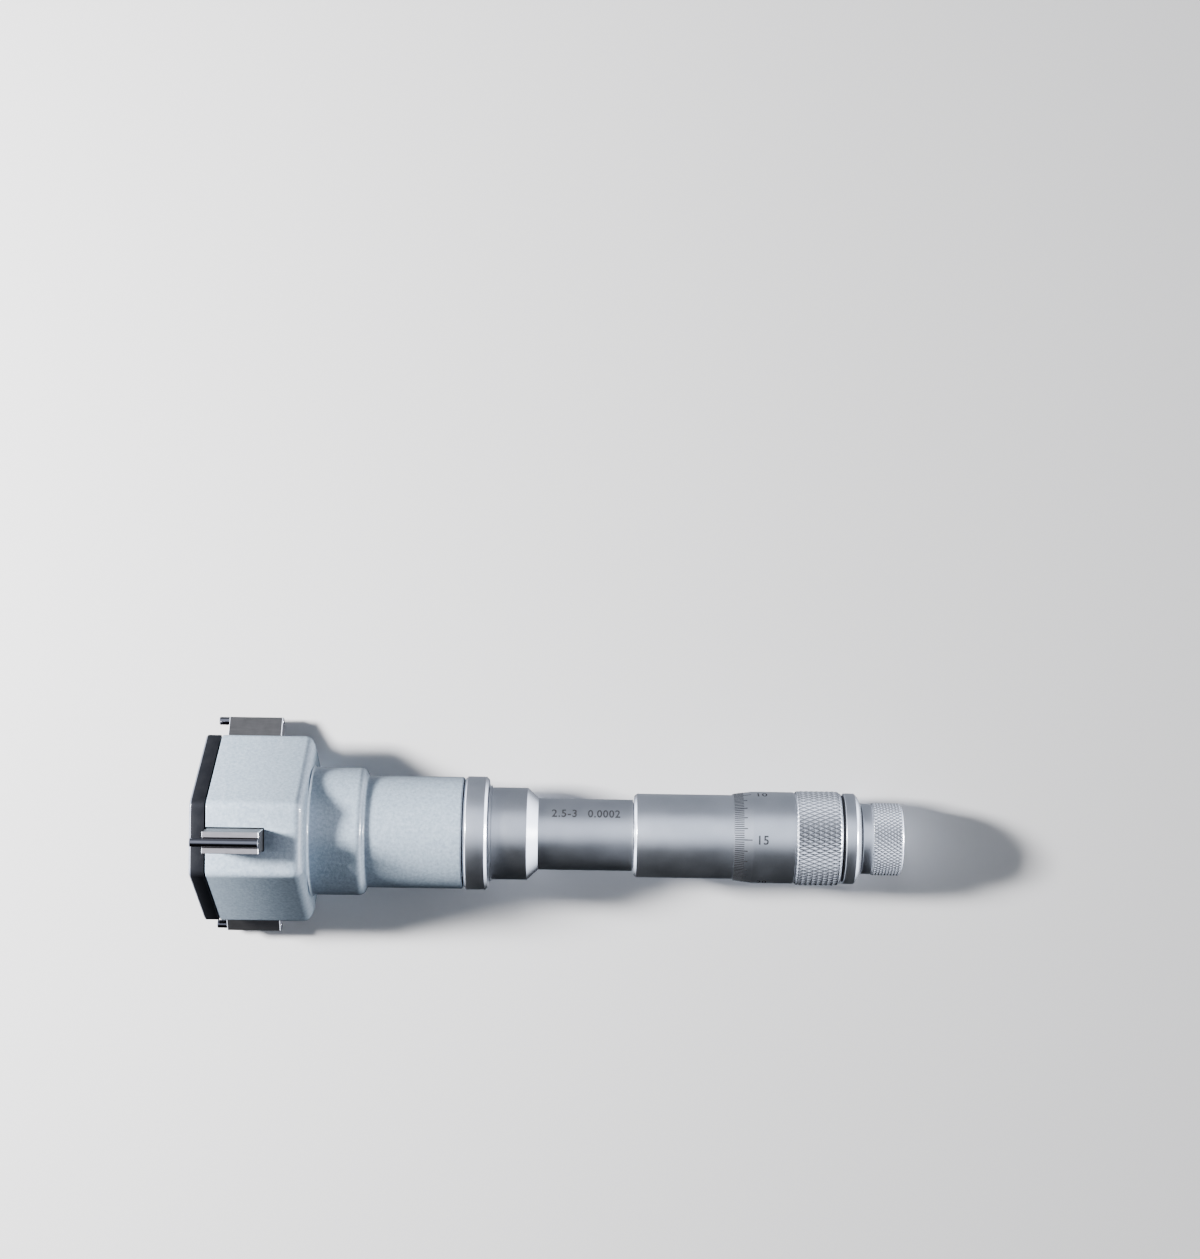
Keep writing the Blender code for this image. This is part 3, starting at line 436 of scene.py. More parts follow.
@dataclass(frozen=True)
class PaleFloor:
    """Plain pale matt floor, which glows a little far from the instrument so that it stays pale."""

    name: str = "pale_floor"
    colour: Colour = (0.80, 0.80, 0.81)
    dark: Colour = (0.77, 0.77, 0.78)
    glow: Colour = (0.72, 0.73, 0.75)
    glow_start: float = 0.35
    glow_full: float = 1.9

    def build(self) -> bpy.types.Material:
        """Return the material."""
        graph = MaterialGraph(self.name)
        cloud = graph.noise(0.4, 2.0)
        far = graph.length(graph.place).ramp(self.glow_start, self.glow_full)
        return graph.dress({
            "Base Color": graph.mix(cloud, self.dark, self.colour),
            "Roughness": 0.9,
            "Specular IOR Level": 0.1,
            "Emission Color": graph.mix(far, (0.0, 0.0, 0.0), self.glow),
            "Emission Strength": 1.0,
        })


class Paintbox:
    """Builds each finish once and hands it out by name."""

    def __init__(self) -> None:
        """Collect the finishes of the whole instrument."""
        finishes = [
            Enamel(),
            SatinMetal("satin_chrome"),
            SatinMetal("tube_chrome", (0.60, 0.615, 0.64), (0.53, 0.545, 0.57), 0.30,
                        ring_depth=0.0003 * MM),
            # A brighter copy of the satin chrome for chamfers, the taper and the plain knurl ends: painted
            # highlight.
            SatinMetal("highlight_chrome", (0.95, 0.96, 0.98), (0.90, 0.91, 0.93), 0.24, 0.04),
            KnurledMetal("thimble_knurl", THIMBLE_GRIP_RADIUS, THIMBLE_KNURL_DEPTH),
            KnurledMetal("ratchet_knurl", RATCHET_GRIP_RADIUS, RATCHET_KNURL_DEPTH),
            GroundSteel(),
            GroundSteel("anvil_steel", (0.42, 0.40, 0.415), (0.32, 0.305, 0.315)),
            # A dark copy of the anvil steel for the blocks' ends and sides: painted shade.
            GroundSteel("anvil_shade_steel", (0.115, 0.112, 0.112), (0.085, 0.083, 0.083), 0.38),
            # A bright copy of the anvil steel for the blocks' chamfers: painted highlight.
            GroundSteel("anvil_highlight_steel", (0.86, 0.86, 0.87), (0.70, 0.70, 0.71), 0.26),
            HardMetal(),
            BlackOxide(),
            EngravingInk(),
            SatinMetal("spring_steel", (0.34, 0.34, 0.36), (0.24, 0.24, 0.26), 0.36, 0.08),
            # A lighter metal for the cover's front chamfer: a worn edge and a painted highlight.
            SatinMetal("worn_and_highlight_edge", (0.50, 0.51, 0.55), (0.30, 0.31, 0.34), 0.28, 0.08),
            PaleFloor(),
        ]
        self.materials = {finish.name: finish.build() for finish in finishes}

    def __getitem__(self, name: str) -> bpy.types.Material:
        """Return a finished material by name."""
        return self.materials[name]


# Modelling steps


def deselect() -> None:
    """Leave edit mode and deselect every object."""
    if bpy.context.object and bpy.context.object.mode != "OBJECT":
        bpy.ops.object.mode_set(mode="OBJECT")
    bpy.ops.object.select_all(action="DESELECT")


def pick(item: Object) -> None:
    """Select one object alone and make it active."""
    deselect()
    item.select_set(True)
    bpy.context.view_layer.objects.active = item


def start_edit() -> Object:
    """Enter edit mode on the active object, with its whole mesh selected, and return it."""
    item = bpy.context.object
    bpy.ops.object.mode_set(mode="EDIT")
    bpy.ops.mesh.select_mode(type="VERT")
    bpy.ops.mesh.select_all(action="SELECT")
    return item


def end_edit(item: Object, name: str) -> Object:
    """Point the faces outwards, leave edit mode and set the origin.

    Args:
        item: The object in edit mode.
        name: Its name.

    Returns:
        The object, at the origin, unturned and unscaled.
    """
    bpy.ops.mesh.select_all(action="SELECT")
    bpy.ops.mesh.normals_make_consistent(inside=False)
    bpy.ops.object.mode_set(mode="OBJECT")
    bpy.ops.object.transform_apply(location=True, rotation=True, scale=True)
    item.name = name
    item.data.name = name
    return item


def slab(size: Place, place: Place = (0.0, 0.0, 0.0)) -> Object:
    """Start a rectangular block, which stays in edit mode with its whole mesh selected.

    Args:
        size: Its sizes along X, Y and Z.
        place: Its middle.

    Returns:
        The object.
    """
    deselect()
    bpy.ops.mesh.primitive_cube_add(size=1.0)
    item = start_edit()
    bpy.ops.transform.resize(value=size)
    bpy.ops.transform.translate(value=place)
    return item


def at_turn(station: float, radius: float, turn: float) -> Place:
    """The point at a station along X, a radius and a turn about X."""
    return (station, radius * math.cos(turn), radius * math.sin(turn))


def reshape(item: Object, moved: Callable[[Vector], Sequence[float]], selected: bool = False) -> None:
    """Move points of a mesh in edit mode.

    Args:
        item: The object in edit mode.
        moved: Gives a point's new place from its old one.
        selected: Whether only the selected points move.
    """
    mesh = bmesh.from_edit_mesh(item.data)
    for vert in mesh.verts:
        if vert.select or not selected:
            vert.co = moved(vert.co.copy())
    bmesh.update_edit_mesh(item.data)


def select_faces(item: Object, wanted: Callable[[Vector], bool]) -> None:
    """Select the faces of a mesh in edit mode by where their middle lies."""
    bpy.ops.mesh.select_mode(type="FACE")
    bpy.ops.mesh.select_all(action="DESELECT")
    for face in bmesh.from_edit_mesh(item.data).faces:
        if wanted(face.calc_center_median()):
            face.select_set(True)
    bmesh.update_edit_mesh(item.data)


def apply_modifier(item: Object, kind: str, **settings: object) -> None:
    """Add a modifier and apply it.

    Args:
        item: The object.
        kind: The modifier's type.
        **settings: Its properties.
    """
    modifier = item.modifiers.new(kind.lower(), kind)
    for key, value in settings.items():
        setattr(modifier, key, value)
    bpy.context.view_layer.objects.active = item
    bpy.ops.object.modifier_apply(modifier=modifier.name)


def soften(item: Object, width: float, segments: int = 2, corner: float = 28.0) -> None:
    """Round the edges sharper than a corner in degrees, and shade the piece by angle."""
    apply_modifier(item, "BEVEL", width=width, segments=segments, limit_method="ANGLE",
                   angle_limit=math.radians(corner), use_clamp_overlap=True)
    shade(item)


def shade(item: Object, corner: float = 32.0) -> None:
    """Shade a piece smooth, with an edge where faces meet at more than an angle in degrees."""
    pick(item)
    bpy.ops.object.shade_smooth_by_angle(angle=math.radians(corner))


def carve(item: Object, cutter: Object) -> None:
    """Cut a closed shape out of a piece and throw the shape away."""
    apply_modifier(item, "BOOLEAN", operation="DIFFERENCE", solver="EXACT", object=cutter)
    bpy.data.objects.remove(cutter, do_unlink=True)


def arc(centre: Point, radius: float, start: float, end: float, steps: int = 6) -> List[Point]:
    """Points along an arc in the plane of station and radius.

    Args:
        centre: Centre of the arc.
        radius: Its radius.
        start: First angle, in degrees from the direction of X.
        end: Last angle, in degrees.
        steps: Number of steps.

    Returns:
        The points, both ends included.
    """
    angles = [math.radians(start + (end - start) * step / steps) for step in range(steps + 1)]
    return [(centre[0] + radius * math.cos(angle), centre[1] + radius * math.sin(angle))
            for angle in angles]


def place_ring(item: Object, station: float, reach: Reach) -> None:
    """Set the selected ring of a mesh at a station, with its radius for each turn about X."""

    def moved(place: Vector) -> Place:
        """New place of a point."""
        turn = math.atan2(place.z, place.y)
        return at_turn(station, reach(turn), turn)

    reshape(item, moved, True)


def skin(name: str, sections: Sequence[Tuple[float, Reach]], turns: Sequence[float],
         hollow: bool) -> Object:
    """Extrude a ring from section to section.

    Args:
        name: Name of the piece.
        sections: Station and reach of each section, in order.
        turns: Turn about X of each point of a ring.
        hollow: Whether the last section joins the first, as in a tube's wall.

    Returns:
        The closed piece.
    """
    deselect()
    bpy.ops.mesh.primitive_circle_add(vertices=len(turns), radius=1.0)
    item = start_edit()
    mesh = bmesh.from_edit_mesh(item.data)
    ordered = sorted(mesh.verts, key=lambda vert: math.atan2(vert.co.y, vert.co.x) % FULL_TURN)
    for vert, turn in zip(ordered, sorted(turn % FULL_TURN for turn in turns)):
        vert.co = at_turn(0.0, 1.0, turn)
    bmesh.update_edit_mesh(item.data)
    place_ring(item, *sections[0])
    for station, reach in sections[1:]:
        bpy.ops.mesh.extrude_region_move()
        place_ring(item, station, reach)
    bpy.ops.mesh.select_all(action="DESELECT")
    bpy.ops.mesh.select_non_manifold()
    if hollow:
        bpy.ops.mesh.bridge_edge_loops()
    else:
        bpy.ops.mesh.select_all(action="SELECT")
        bpy.ops.mesh.fill_holes(sides=0)
    return end_edit(item, name)


def turned(name: str, outline: Sequence[Point], bore: Sequence[Point] = (),
           sides: int = ROUND_SIDES) -> Object:
    """Model a turned piece from its outline.

    Args:
        name: Name of the piece.
        outline: Points of station and radius along its outside, front to back.
        bore: Points along its bore, front to back, or none for a solid piece.
        sides: Facets round it.

    Returns:
        The piece.
    """
    points = list(outline) + list(reversed(list(bore)))
    sections = [(station, lambda turn, radius=radius: radius) for station, radius in points]
    turns = [FULL_TURN * number / sides for number in range(sides)]
    return skin(name, sections, turns, bool(bore))


def drum(name: str, radius: float, front: float, rear: float, sides: int = SMALL_SIDES) -> Object:
    """A plain cylinder along X, used to cut holes."""
    return turned(name, [(front, radius), (rear, radius)], (), sides)


def move_mesh(item: Object, matrix: Matrix) -> Object:
    """Move a piece by moving its mesh, so that the object stays at the origin, and return it."""
    item.data.transform(matrix)
    item.data.update()
    return item


def copied(item: Object, name: str) -> Object:
    """Copy a piece with its own mesh."""
    twin = item.copy()
    twin.data = item.data.copy()
    twin.name = name
    twin.data.name = name
    bpy.context.scene.collection.objects.link(twin)
    return twin


def paint_where(item: Object, material: bpy.types.Material, wanted: Wanted) -> None:
    """Give some faces of a piece a second finish.

    Args:
        item: The object, with its main finish set.
        material: The second finish.
        wanted: Says from a face's centre and normal whether it is wanted.
    """
    item.data.materials.append(material)
    number = len(item.data.materials) - 1
    for face in item.data.polygons:
        if wanted(face.center, face.normal):
            face.material_index = number


def dress(item: Object, paint: "Paintbox", finish: str, body: str, slot: str, nodes: Sequence[str] = (),
          accents: Sequence[Tuple[str, Wanted]] = ()) -> Object:
    """Give a piece its finishes and tie it to the frame.

    Args:
        item: The object.
        paint: The finishes.
        finish: Its main finish, where it has none yet.
        body: CAD body that it moves with.
        slot: The record's material slot. Not used.
        nodes: CAD nodes that it stands for.
        accents: Second finishes, each with what says which faces take it.

    Returns:
        The object.
    """
    if not item.data.materials:
        item.data.materials.append(paint[finish])
    for name, wanted in accents:
        paint_where(item, paint[name], wanted)
    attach(item, body)
    if nodes:
        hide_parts(*nodes)
    LOG.info("%s: %d faces on %s", item.name, len(item.data.polygons), body)
    return item


# Sub-assemblies


@dataclass
class HeadSection:
    """The head's six-sided section: narrow facets under the anvils and wide facets between them."""

    narrow: float
    wide: float
    corner_round: float = 2.0 * MM
    corner_half: float = 0.062
    arc_points: int = 7
    facet_points: int = 9

    def corners(self) -> List[float]:
        """Turns of the six corners."""
        ratio = self.wide / self.narrow
        spread = math.atan((ratio - math.cos(math.pi / 3.0)) / math.sin(math.pi / 3.0))
        middles = [UP_TURN + FULL_TURN * number / 3.0 for number in range(3)]
        return sorted((middle + sign * spread) % FULL_TURN for middle in middles for sign in (-1.0, 1.0))

    def facets(self) -> List[Tuple[float, float]]:
        """Turn and distance of the six facets."""
        narrow = [(UP_TURN + FULL_TURN * number / 3.0, self.narrow) for number in range(3)]
        wide = [(UP_TURN + math.pi / 3.0 + FULL_TURN * number / 3.0, self.wide) for number in range(3)]
        return narrow + wide

    def reach(self, turn: float, inset: float = 0.0) -> float:
        """Distance from the axis to the section's outline.

        Args:
            turn: Turn about the axis.
            inset: Distance that every facet lies further in.

        Returns:
            The distance.
        """
        facets = [(middle, distance - inset) for middle, distance in self.facets()]
        flat = min(distance / math.cos(turn - middle) for middle, distance in facets
                   if math.cos(turn - middle) > 0.1)
        rounding = self.corner_round
        for corner in self.corners():
            off = (turn - corner + math.pi) % FULL_TURN - math.pi
            beside = sorted(facets, key=lambda facet: -math.cos(corner - facet[0]))[:2]
            centre = self.meeting(beside[0], beside[1], rounding)
            reach = math.hypot(*centre)
            lean = math.atan2(centre[1], centre[0])
            ends = []
            for middle, _ in beside:
                touch = (centre[0] + rounding * math.cos(middle), centre[1] + rounding * math.sin(middle))
                swing = math.atan2(touch[1], touch[0]) - corner
                ends.append((swing + math.pi) % FULL_TURN - math.pi)
            if min(ends) < off < max(ends):
                bend = turn - lean
                flat = reach * math.cos(bend) + math.sqrt(rounding ** 2 - (reach * math.sin(bend)) ** 2)
        return flat

    @staticmethod
    def meeting(first: Tuple[float, float], second: Tuple[float, float], rounding: float) -> Point:
        """Where two facets meet, moved in by a rounding."""
        a1, d1 = first
        a2, d2 = second
        d1 -= rounding
        d2 -= rounding
        spread = math.sin(a2 - a1)
        return ((d1 * math.sin(a2) - d2 * math.sin(a1)) / spread,
                (d2 * math.cos(a1) - d1 * math.cos(a2)) / spread)

    def turns(self) -> List[float]:
        """Turns of the outline's points, close together at the corners."""
        half = self.corner_half
        corners = self.corners()
        found: List[float] = []
        for number, corner in enumerate(corners):
            found += [corner - half + 2.0 * half * step / (self.arc_points - 1)
                      for step in range(self.arc_points)]
            last = number == len(corners) - 1
            start = corner + half
            end = (corners[0] + FULL_TURN if last else corners[number + 1]) - half
            found += [start + (end - start) * step / (self.facet_points + 1)
                      for step in range(1, self.facet_points + 1)]
        return found


@dataclass
class HeadHousing:
    """The cast head with its neck and shank."""

    section: HeadSection
    front: float
    rear: float
    shank_rear: float
    bore: float
    slot_rear: float
    slot_width: float
    front_round: float = 0.45 * MM
    rear_round: float = 2.8 * MM
    rear_depth: float = 4.3 * MM
    neck_radius: float = 16.9 * MM
    neck_rear: float = 43.7 * MM
    neck_round: float = 1.9 * MM
    neck_fillet: float = 0.7 * MM
    shank_radius: float = 14.8 * MM
    shank_fillet: float = 0.7 * MM
    shank_edge: float = 0.35 * MM
    slot_edge: float = 0.18 * MM

    def sections(self) -> List[Tuple[float, Reach]]:
        """Sections from the front rim over the outside to the shank and back through the bore."""
        made: List[Tuple[float, Reach]] = []
        for ahead, drop in ((0.0, 1.0), (0.29, 0.29), (1.0, 0.0)):
            made.append((self.front + self.front_round * ahead, self.inset(self.front_round * drop)))
        steps = 6
        for step in range(steps + 1):
            angle = UP_TURN * step / steps
            station = self.rear - self.rear_round * (1.0 - math.sin(angle))
            made.append((station, self.inset(self.rear_depth * (1.0 - math.cos(angle)))))
        outline = arc((self.rear + self.neck_fillet, self.neck_radius + self.neck_fillet),
                      self.neck_fillet, 180.0, 270.0)
        outline += arc((self.neck_rear - self.neck_round, self.neck_radius - self.neck_round),
                       self.neck_round, 90.0, 12.0)
        outline += arc((self.neck_rear + self.shank_fillet, self.shank_radius + self.shank_fillet),
                       self.shank_fillet, 200.0, 270.0, 4)
        outline += [(self.shank_rear - self.shank_edge, self.shank_radius),
                    (self.shank_rear, self.shank_radius - self.shank_edge),
                    (self.shank_rear, self.bore), (self.front, self.bore)]
        made += [(station, lambda turn, radius=radius: radius) for station, radius in outline]
        return made

    def inset(self, inset: float) -> Reach:
        """The section's reach with its facets moved in."""
        return lambda turn: self.section.reach(turn, inset)

    def build(self, paint: Paintbox) -> None:
        """Model the head and cut the three anvil slots."""
        head = skin("cast_head", self.sections(), self.section.turns(), True)
        for side in Side:
            height = 2.0 * self.section.narrow
            length = self.slot_rear - self.front + 2.0 * CUT_PAST
            cutter = end_edit(slab((length, self.slot_width, height),
                                   (self.slot_rear - length / 2.0, 0.0, height / 2.0)), "slot_shape")
            move_mesh(cutter, Matrix.Rotation(side.turn, 4, "X"))
            carve(head, cutter)
        soften(head, self.slot_edge, 2, 50.0)
        dress(head, paint, "grey_enamel", "frame", "grey_enamel", ["head_housing"])


@dataclass
class EndCover:
    """The black plate on the front of the head, and its three cap screws."""

    section: HeadSection
    front: float
    rear: float
    screw_nodes: Dict[str, Tuple[Vector, Vector]]
    chamfer: float = 0.45 * MM
    counterbore_gap: float = 0.3 * MM
    counterbore_depth: float = 0.6 * MM
    head_radius: float = 2.75 * MM
    head_height: float = 1.9 * MM
    socket_radius: float = 1.45 * MM
    socket_depth: float = 1.2 * MM
    relief_radius: float = 4.95 * MM
    relief_web: float = 1.6 * MM

    def build(self, paint: Paintbox) -> None:
        """Model the plate with its counterbores and the relief for the cone's tip, then the screws."""
        rim = [(self.front, self.chamfer), (self.front + self.chamfer, 0.0), (self.rear, 0.0)]
        sections = [(station, lambda turn, inset=inset: self.section.reach(turn, inset))
                    for station, inset in rim]
        plate = skin("cover_plate", sections, self.section.turns(), False)
        for low, high in self.screw_nodes.values():
            hole = drum("counterbore", self.head_radius + self.counterbore_gap,
                        self.front - CUT_PAST, self.front + self.head_height + self.counterbore_depth)
            move_mesh(hole, Matrix.Translation((0.0, (low.y + high.y) / 2.0, (low.z + high.z) / 2.0)))
            carve(plate, hole)
        carve(plate, drum("cone_relief", self.relief_radius, self.front + self.relief_web,
                          self.rear + CUT_PAST))
        soften(plate, 0.1 * MM)
        edge = self.front + self.chamfer
        # The front chamfer takes the lighter metal, which shows a worn edge and a painted highlight.
        dress(plate, paint, "black_finish", "frame", "black_finish", ["end_cover"],
              [("worn_and_highlight_edge", lambda centre, normal: centre.x < edge and -0.95 < normal.x < -0.3)])
        for number, (node, (low, high)) in enumerate(sorted(self.screw_nodes.items())):
            self.screw(paint, number + 1, node, low, high)

    def screw(self, paint: Paintbox, number: int, node: str, low: Vector, high: Vector) -> None:
        """Model one cap screw with its hexagon socket."""
        shank = (high.y - low.y) * 0.5 * 0.545
        base = low.x
        outline = [(base, self.head_radius - 0.25 * MM), (base + 0.25 * MM, self.head_radius),
                   (base + self.head_height, self.head_radius), (base + self.head_height, shank),
                   (high.x - 0.4 * MM, shank), (high.x, shank * 0.7)]
        screw = turned(f"cap_screw_{number}", outline, (), SMALL_SIDES)
        socket = drum("socket", self.socket_radius, base - CUT_PAST, base + self.socket_depth, 6)
        carve(screw, socket)
        soften(screw, 0.06 * MM)
        move_mesh(screw, Matrix.Translation((0.0, (low.y + high.y) / 2.0, (low.z + high.z) / 2.0)))
        dress(screw, paint, "spring_steel", "frame", "spring_steel", [node])


@dataclass
class Anvil:
    """One anvil block and the hard measuring pin let into its outer face."""

    side: Side
    front: float
    rear: float
    foot_rear: float
    foot_top: float
    tip: float
    outer: float
    width: float
    pin_front: float
    pin_radius: float
    incline_front: float
    slope: float = 0.5
    groove_gap: float = 0.22 * MM
    edge: float = 0.13 * MM
    pin_chamfer: float = 0.15 * MM
    close: float = 0.01 * MM

    def build(self, paint: Paintbox) -> None:
        """Model the block from a cube, groove it, and lay the pin in it."""
        item = slab((self.rear - self.front, self.width, self.outer - self.tip),
                    ((self.front + self.rear) / 2.0, 0.0, (self.outer + self.tip) / 2.0))
        bpy.ops.mesh.bisect(plane_co=(0.0, 0.0, self.foot_top), plane_no=(0.0, 0.0, 1.0))
        bpy.ops.mesh.select_all(action="SELECT")
        bpy.ops.mesh.bisect(plane_co=(self.incline_front, 0.0, 0.0), plane_no=(1.0, 0.0, 0.0))
        select_faces(item, lambda place: place.x > self.rear - self.close and place.z < self.foot_top)
        step = (self.foot_rear - self.rear, 0.0, 0.0)
        bpy.ops.mesh.extrude_region_move(TRANSFORM_OT_translate={"value": step})
        reshape(item, self.inclined)
        name = self.side.value
        block = end_edit(item, f"anvil_block_{name}")
        groove = drum("groove", self.groove_radius(), self.front - CUT_PAST, self.foot_rear + CUT_PAST)
        carve(block, move_mesh(groove, Matrix.Translation((0.0, 0.0, self.outer))))
        soften(block, self.edge, 1)
        block.data.materials.append(paint["anvil_steel"])
        # Painted shade: dark steel on the ends and sides, black ink in the groove beside the pin. Painted
        # highlight: bright steel on the chamfers.
        for finish, wanted in (("anvil_shade_steel", self.is_flank), ("black_ink_and_shade", self.is_groove),
                               ("anvil_highlight_steel", self.is_edge)):
            paint_where(block, paint[finish], wanted)
        turn = Matrix.Rotation(self.side.turn, 4, "X")
        move_mesh(block, turn)
        dress(block, paint, "anvil_steel", f"{name}_anvil", "anvil_steel", [f"anvil_{name}"])

        lip = self.pin_chamfer
        pin = turned(f"hard_pin_{name}",
                     [(self.pin_front, self.pin_radius - lip), (self.pin_front + lip, self.pin_radius),
                      (self.rear - lip, self.pin_radius), (self.rear, self.pin_radius - lip)],
                     (), SMALL_SIDES)
        move_mesh(pin, turn @ Matrix.Translation((0.0, 0.0, self.outer)))
        shade(pin)
        dress(pin, paint, "hard_metal", f"{name}_anvil", "hard_metal", [f"measuring_pin_{name}"])

    def groove_radius(self) -> float:
        """Radius of the groove round the pin."""
        return self.pin_radius + self.groove_gap

    def inclined(self, place: Vector) -> Vector:
        """A point of the block, with the inner face sloped behind its front part."""
        if place.z < self.tip + self.close and place.x > self.incline_front:
            place.z = self.tip + (place.x - self.incline_front) * self.slope
        return place

    def is_flank(self, centre: Vector, normal: Vector) -> bool:
        """Whether a face is on an end or a side of the block, which takes dark steel as painted shade."""
        return max(abs(normal.x), abs(normal.y)) > 0.95

    def is_groove(self, centre: Vector, normal: Vector) -> bool:
        """Whether a face is in the groove beside the pin, which is inked black as painted shade."""
        depth = self.outer - centre.z
        return abs(centre.y) < self.groove_radius() and self.close < depth < 3.0 * self.pin_radius

    def is_edge(self, centre: Vector, normal: Vector) -> bool:
        """Whether a face is a chamfer along a side, or between the outer face and either end, which takes
        bright steel as painted highlight.
        """
        near = 1.1 * self.edge
        along = 0.5 < max(abs(part) for part in normal) < 0.9 and abs(centre.y) > self.width / 2.0 - near
        at_end = min(centre.x - self.front, self.rear - centre.x) < near
        return along or at_end and 0.3 < abs(normal.z) < 0.9 and centre.z > self.outer - near


@dataclass
class FrameTube:
    """The lock ring behind the head and the tube with its collar and taper."""

    ring_front: float
    ring_rear: float
    ring_radius: float
    tube_front: float
    tube_rear: float
    ring_chamfer: float = 0.72 * MM
    spigot: float = 11.6 * MM
    chamber: float = 6.6 * MM
    lip_radius: float = 12.7 * MM
    lip_length: float = 0.5 * MM
    lip_gap: float = 0.3 * MM
    collar_radius: float = 12.2 * MM
    collar_rear: float = 86.2 * MM
    taper_rear: float = 89.1 * MM
    tube_radius: float = 9.44 * MM
    core_front: float = 114.1 * MM
    core_radius: float = 8.6 * MM
    marking_turn: float = math.radians(47.8)
    marking_height: float = 2.5 * MM

    def mark(self, paint: Paintbox) -> None:
        """Lay the range and the reading step on the tube, as plain numbers."""
        numbers = Lettering(paint, "frame", "satin_chrome")
        for name, text, front, rear in (("range_numbers", "2.5-3", 92.7 * MM, 99.3 * MM),
                                        ("step_numbers", "0.0002", 102.2 * MM, 110.7 * MM)):
            numbers.write(name, text, front, self.tube_radius, self.marking_turn, self.marking_height,
                          rear - front)

    def build(self, paint: Paintbox) -> None:
        """Model the ring and the tube."""
        self.mark(paint)
        chamfer = self.ring_chamfer
        outline = [
            (self.ring_front, self.ring_radius - chamfer),
            (self.ring_front + chamfer, self.ring_radius),
            (self.ring_rear - chamfer, self.ring_radius),
            (self.ring_rear, self.ring_radius - chamfer),
        ]
        bore = [(self.ring_front, self.spigot + 0.2 * MM), (self.ring_rear, self.spigot + 0.2 * MM)]
        ring = turned("lock_collar", outline, bore)
        soften(ring, 0.07 * MM)
        # Both chamfers of the ring take the brighter chrome as painted highlight.
        dress(ring, paint, "satin_chrome", "frame", "satin_chrome", ["lock_ring"],
              [("highlight_chrome", lambda centre, normal: 0.2 < abs(normal.x) < 0.95)])

        lip_front = self.ring_rear + self.lip_gap
        lip_rear = lip_front + self.lip_length
        outline = [
            (self.tube_front, self.spigot),
            (lip_front, self.spigot),
            (lip_front, self.lip_radius),
            (lip_rear, self.lip_radius),
            (lip_rear, self.collar_radius - 0.3 * MM),
            (lip_rear + 0.2 * MM, self.collar_radius - 0.3 * MM),
            (lip_rear + 0.2 * MM, self.collar_radius),
            (self.collar_rear, self.collar_radius),
            (self.taper_rear, self.tube_radius),
            (self.core_front, self.tube_radius),
            (self.core_front, self.core_radius),
            (self.tube_rear, self.core_radius),
        ]
        bore = [(self.tube_front, self.chamber), (self.tube_rear, self.chamber)]
        tube = turned("turned_tube", outline, bore)
        soften(tube, 0.08 * MM)
        # The taper behind the collar takes the brighter chrome as painted highlight.
        front, rear = self.collar_rear, self.taper_rear
        dress(tube, paint, "tube_chrome", "frame", "satin_chrome", ["frame_tube"],
              [("highlight_chrome", lambda centre, normal: front < centre.x < rear and normal.x > 0.3)])


class Lettering:
    """Numbers laid on a round surface and filled with ink."""

    def __init__(self, paint: Paintbox, body: str, slot: str) -> None:
        """Set the finishes, the CAD body and the material slot that all the numbers share."""
        self.paint = paint
        self.body = body
        self.slot = slot

    def write(self, name: str, text: str, station: float, radius: float, turn: float, height: float,
              length: float, flip: bool = False, proud: float = 0.015 * MM) -> Object:
        """Lay one number on a cylinder, read along +X.

        Args:
            name: Name of the piece.
            text: The digits.
            station: Place of its left end along X.
            radius: Radius of the surface.
            turn: Turn about X of its middle, as an angle from +Y towards +Z.
            height: Height of a digit.
            length: Length of the whole number.
            flip: Whether the number reads along -X.
            proud: How far the ink stands out.

        Returns:
            The piece.
        """
        deselect()
        bpy.ops.object.text_add()
        item = bpy.context.object
        item.data.body = text
        item.data.size = height
        item.data.space_character = 1.1
        item.data.resolution_u = 3
        item.data.offset = height * 0.018
        item.data.extrude = 2.0 * proud
        bpy.ops.object.convert(target="MESH")
        start_edit()
        bpy.ops.mesh.remove_doubles(threshold=SAME_POINT)
        bpy.ops.mesh.subdivide(number_cuts=1)
        end_edit(item, name)
        spots = [vert.co.copy() for vert in item.data.vertices]
        left, right = min(spot.x for spot in spots), max(spot.x for spot in spots)
        bottom, top = min(spot.y for spot in spots), max(spot.y for spot in spots)
        sense = -1.0 if flip else 1.0
        for vert, spot in zip(item.data.vertices, spots):
            along = (spot.x - left) / (right - left) * length
            up = ((spot.y - bottom) / (top - bottom) - 0.5) * height
            angle = turn + sense * -up / radius
            reach = radius - proud + spot.z
            vert.co = at_turn(station + sense * along, reach, angle)
        item.data.update()
        return dress(item, self.paint, "black_ink_and_shade", self.body, self.slot)


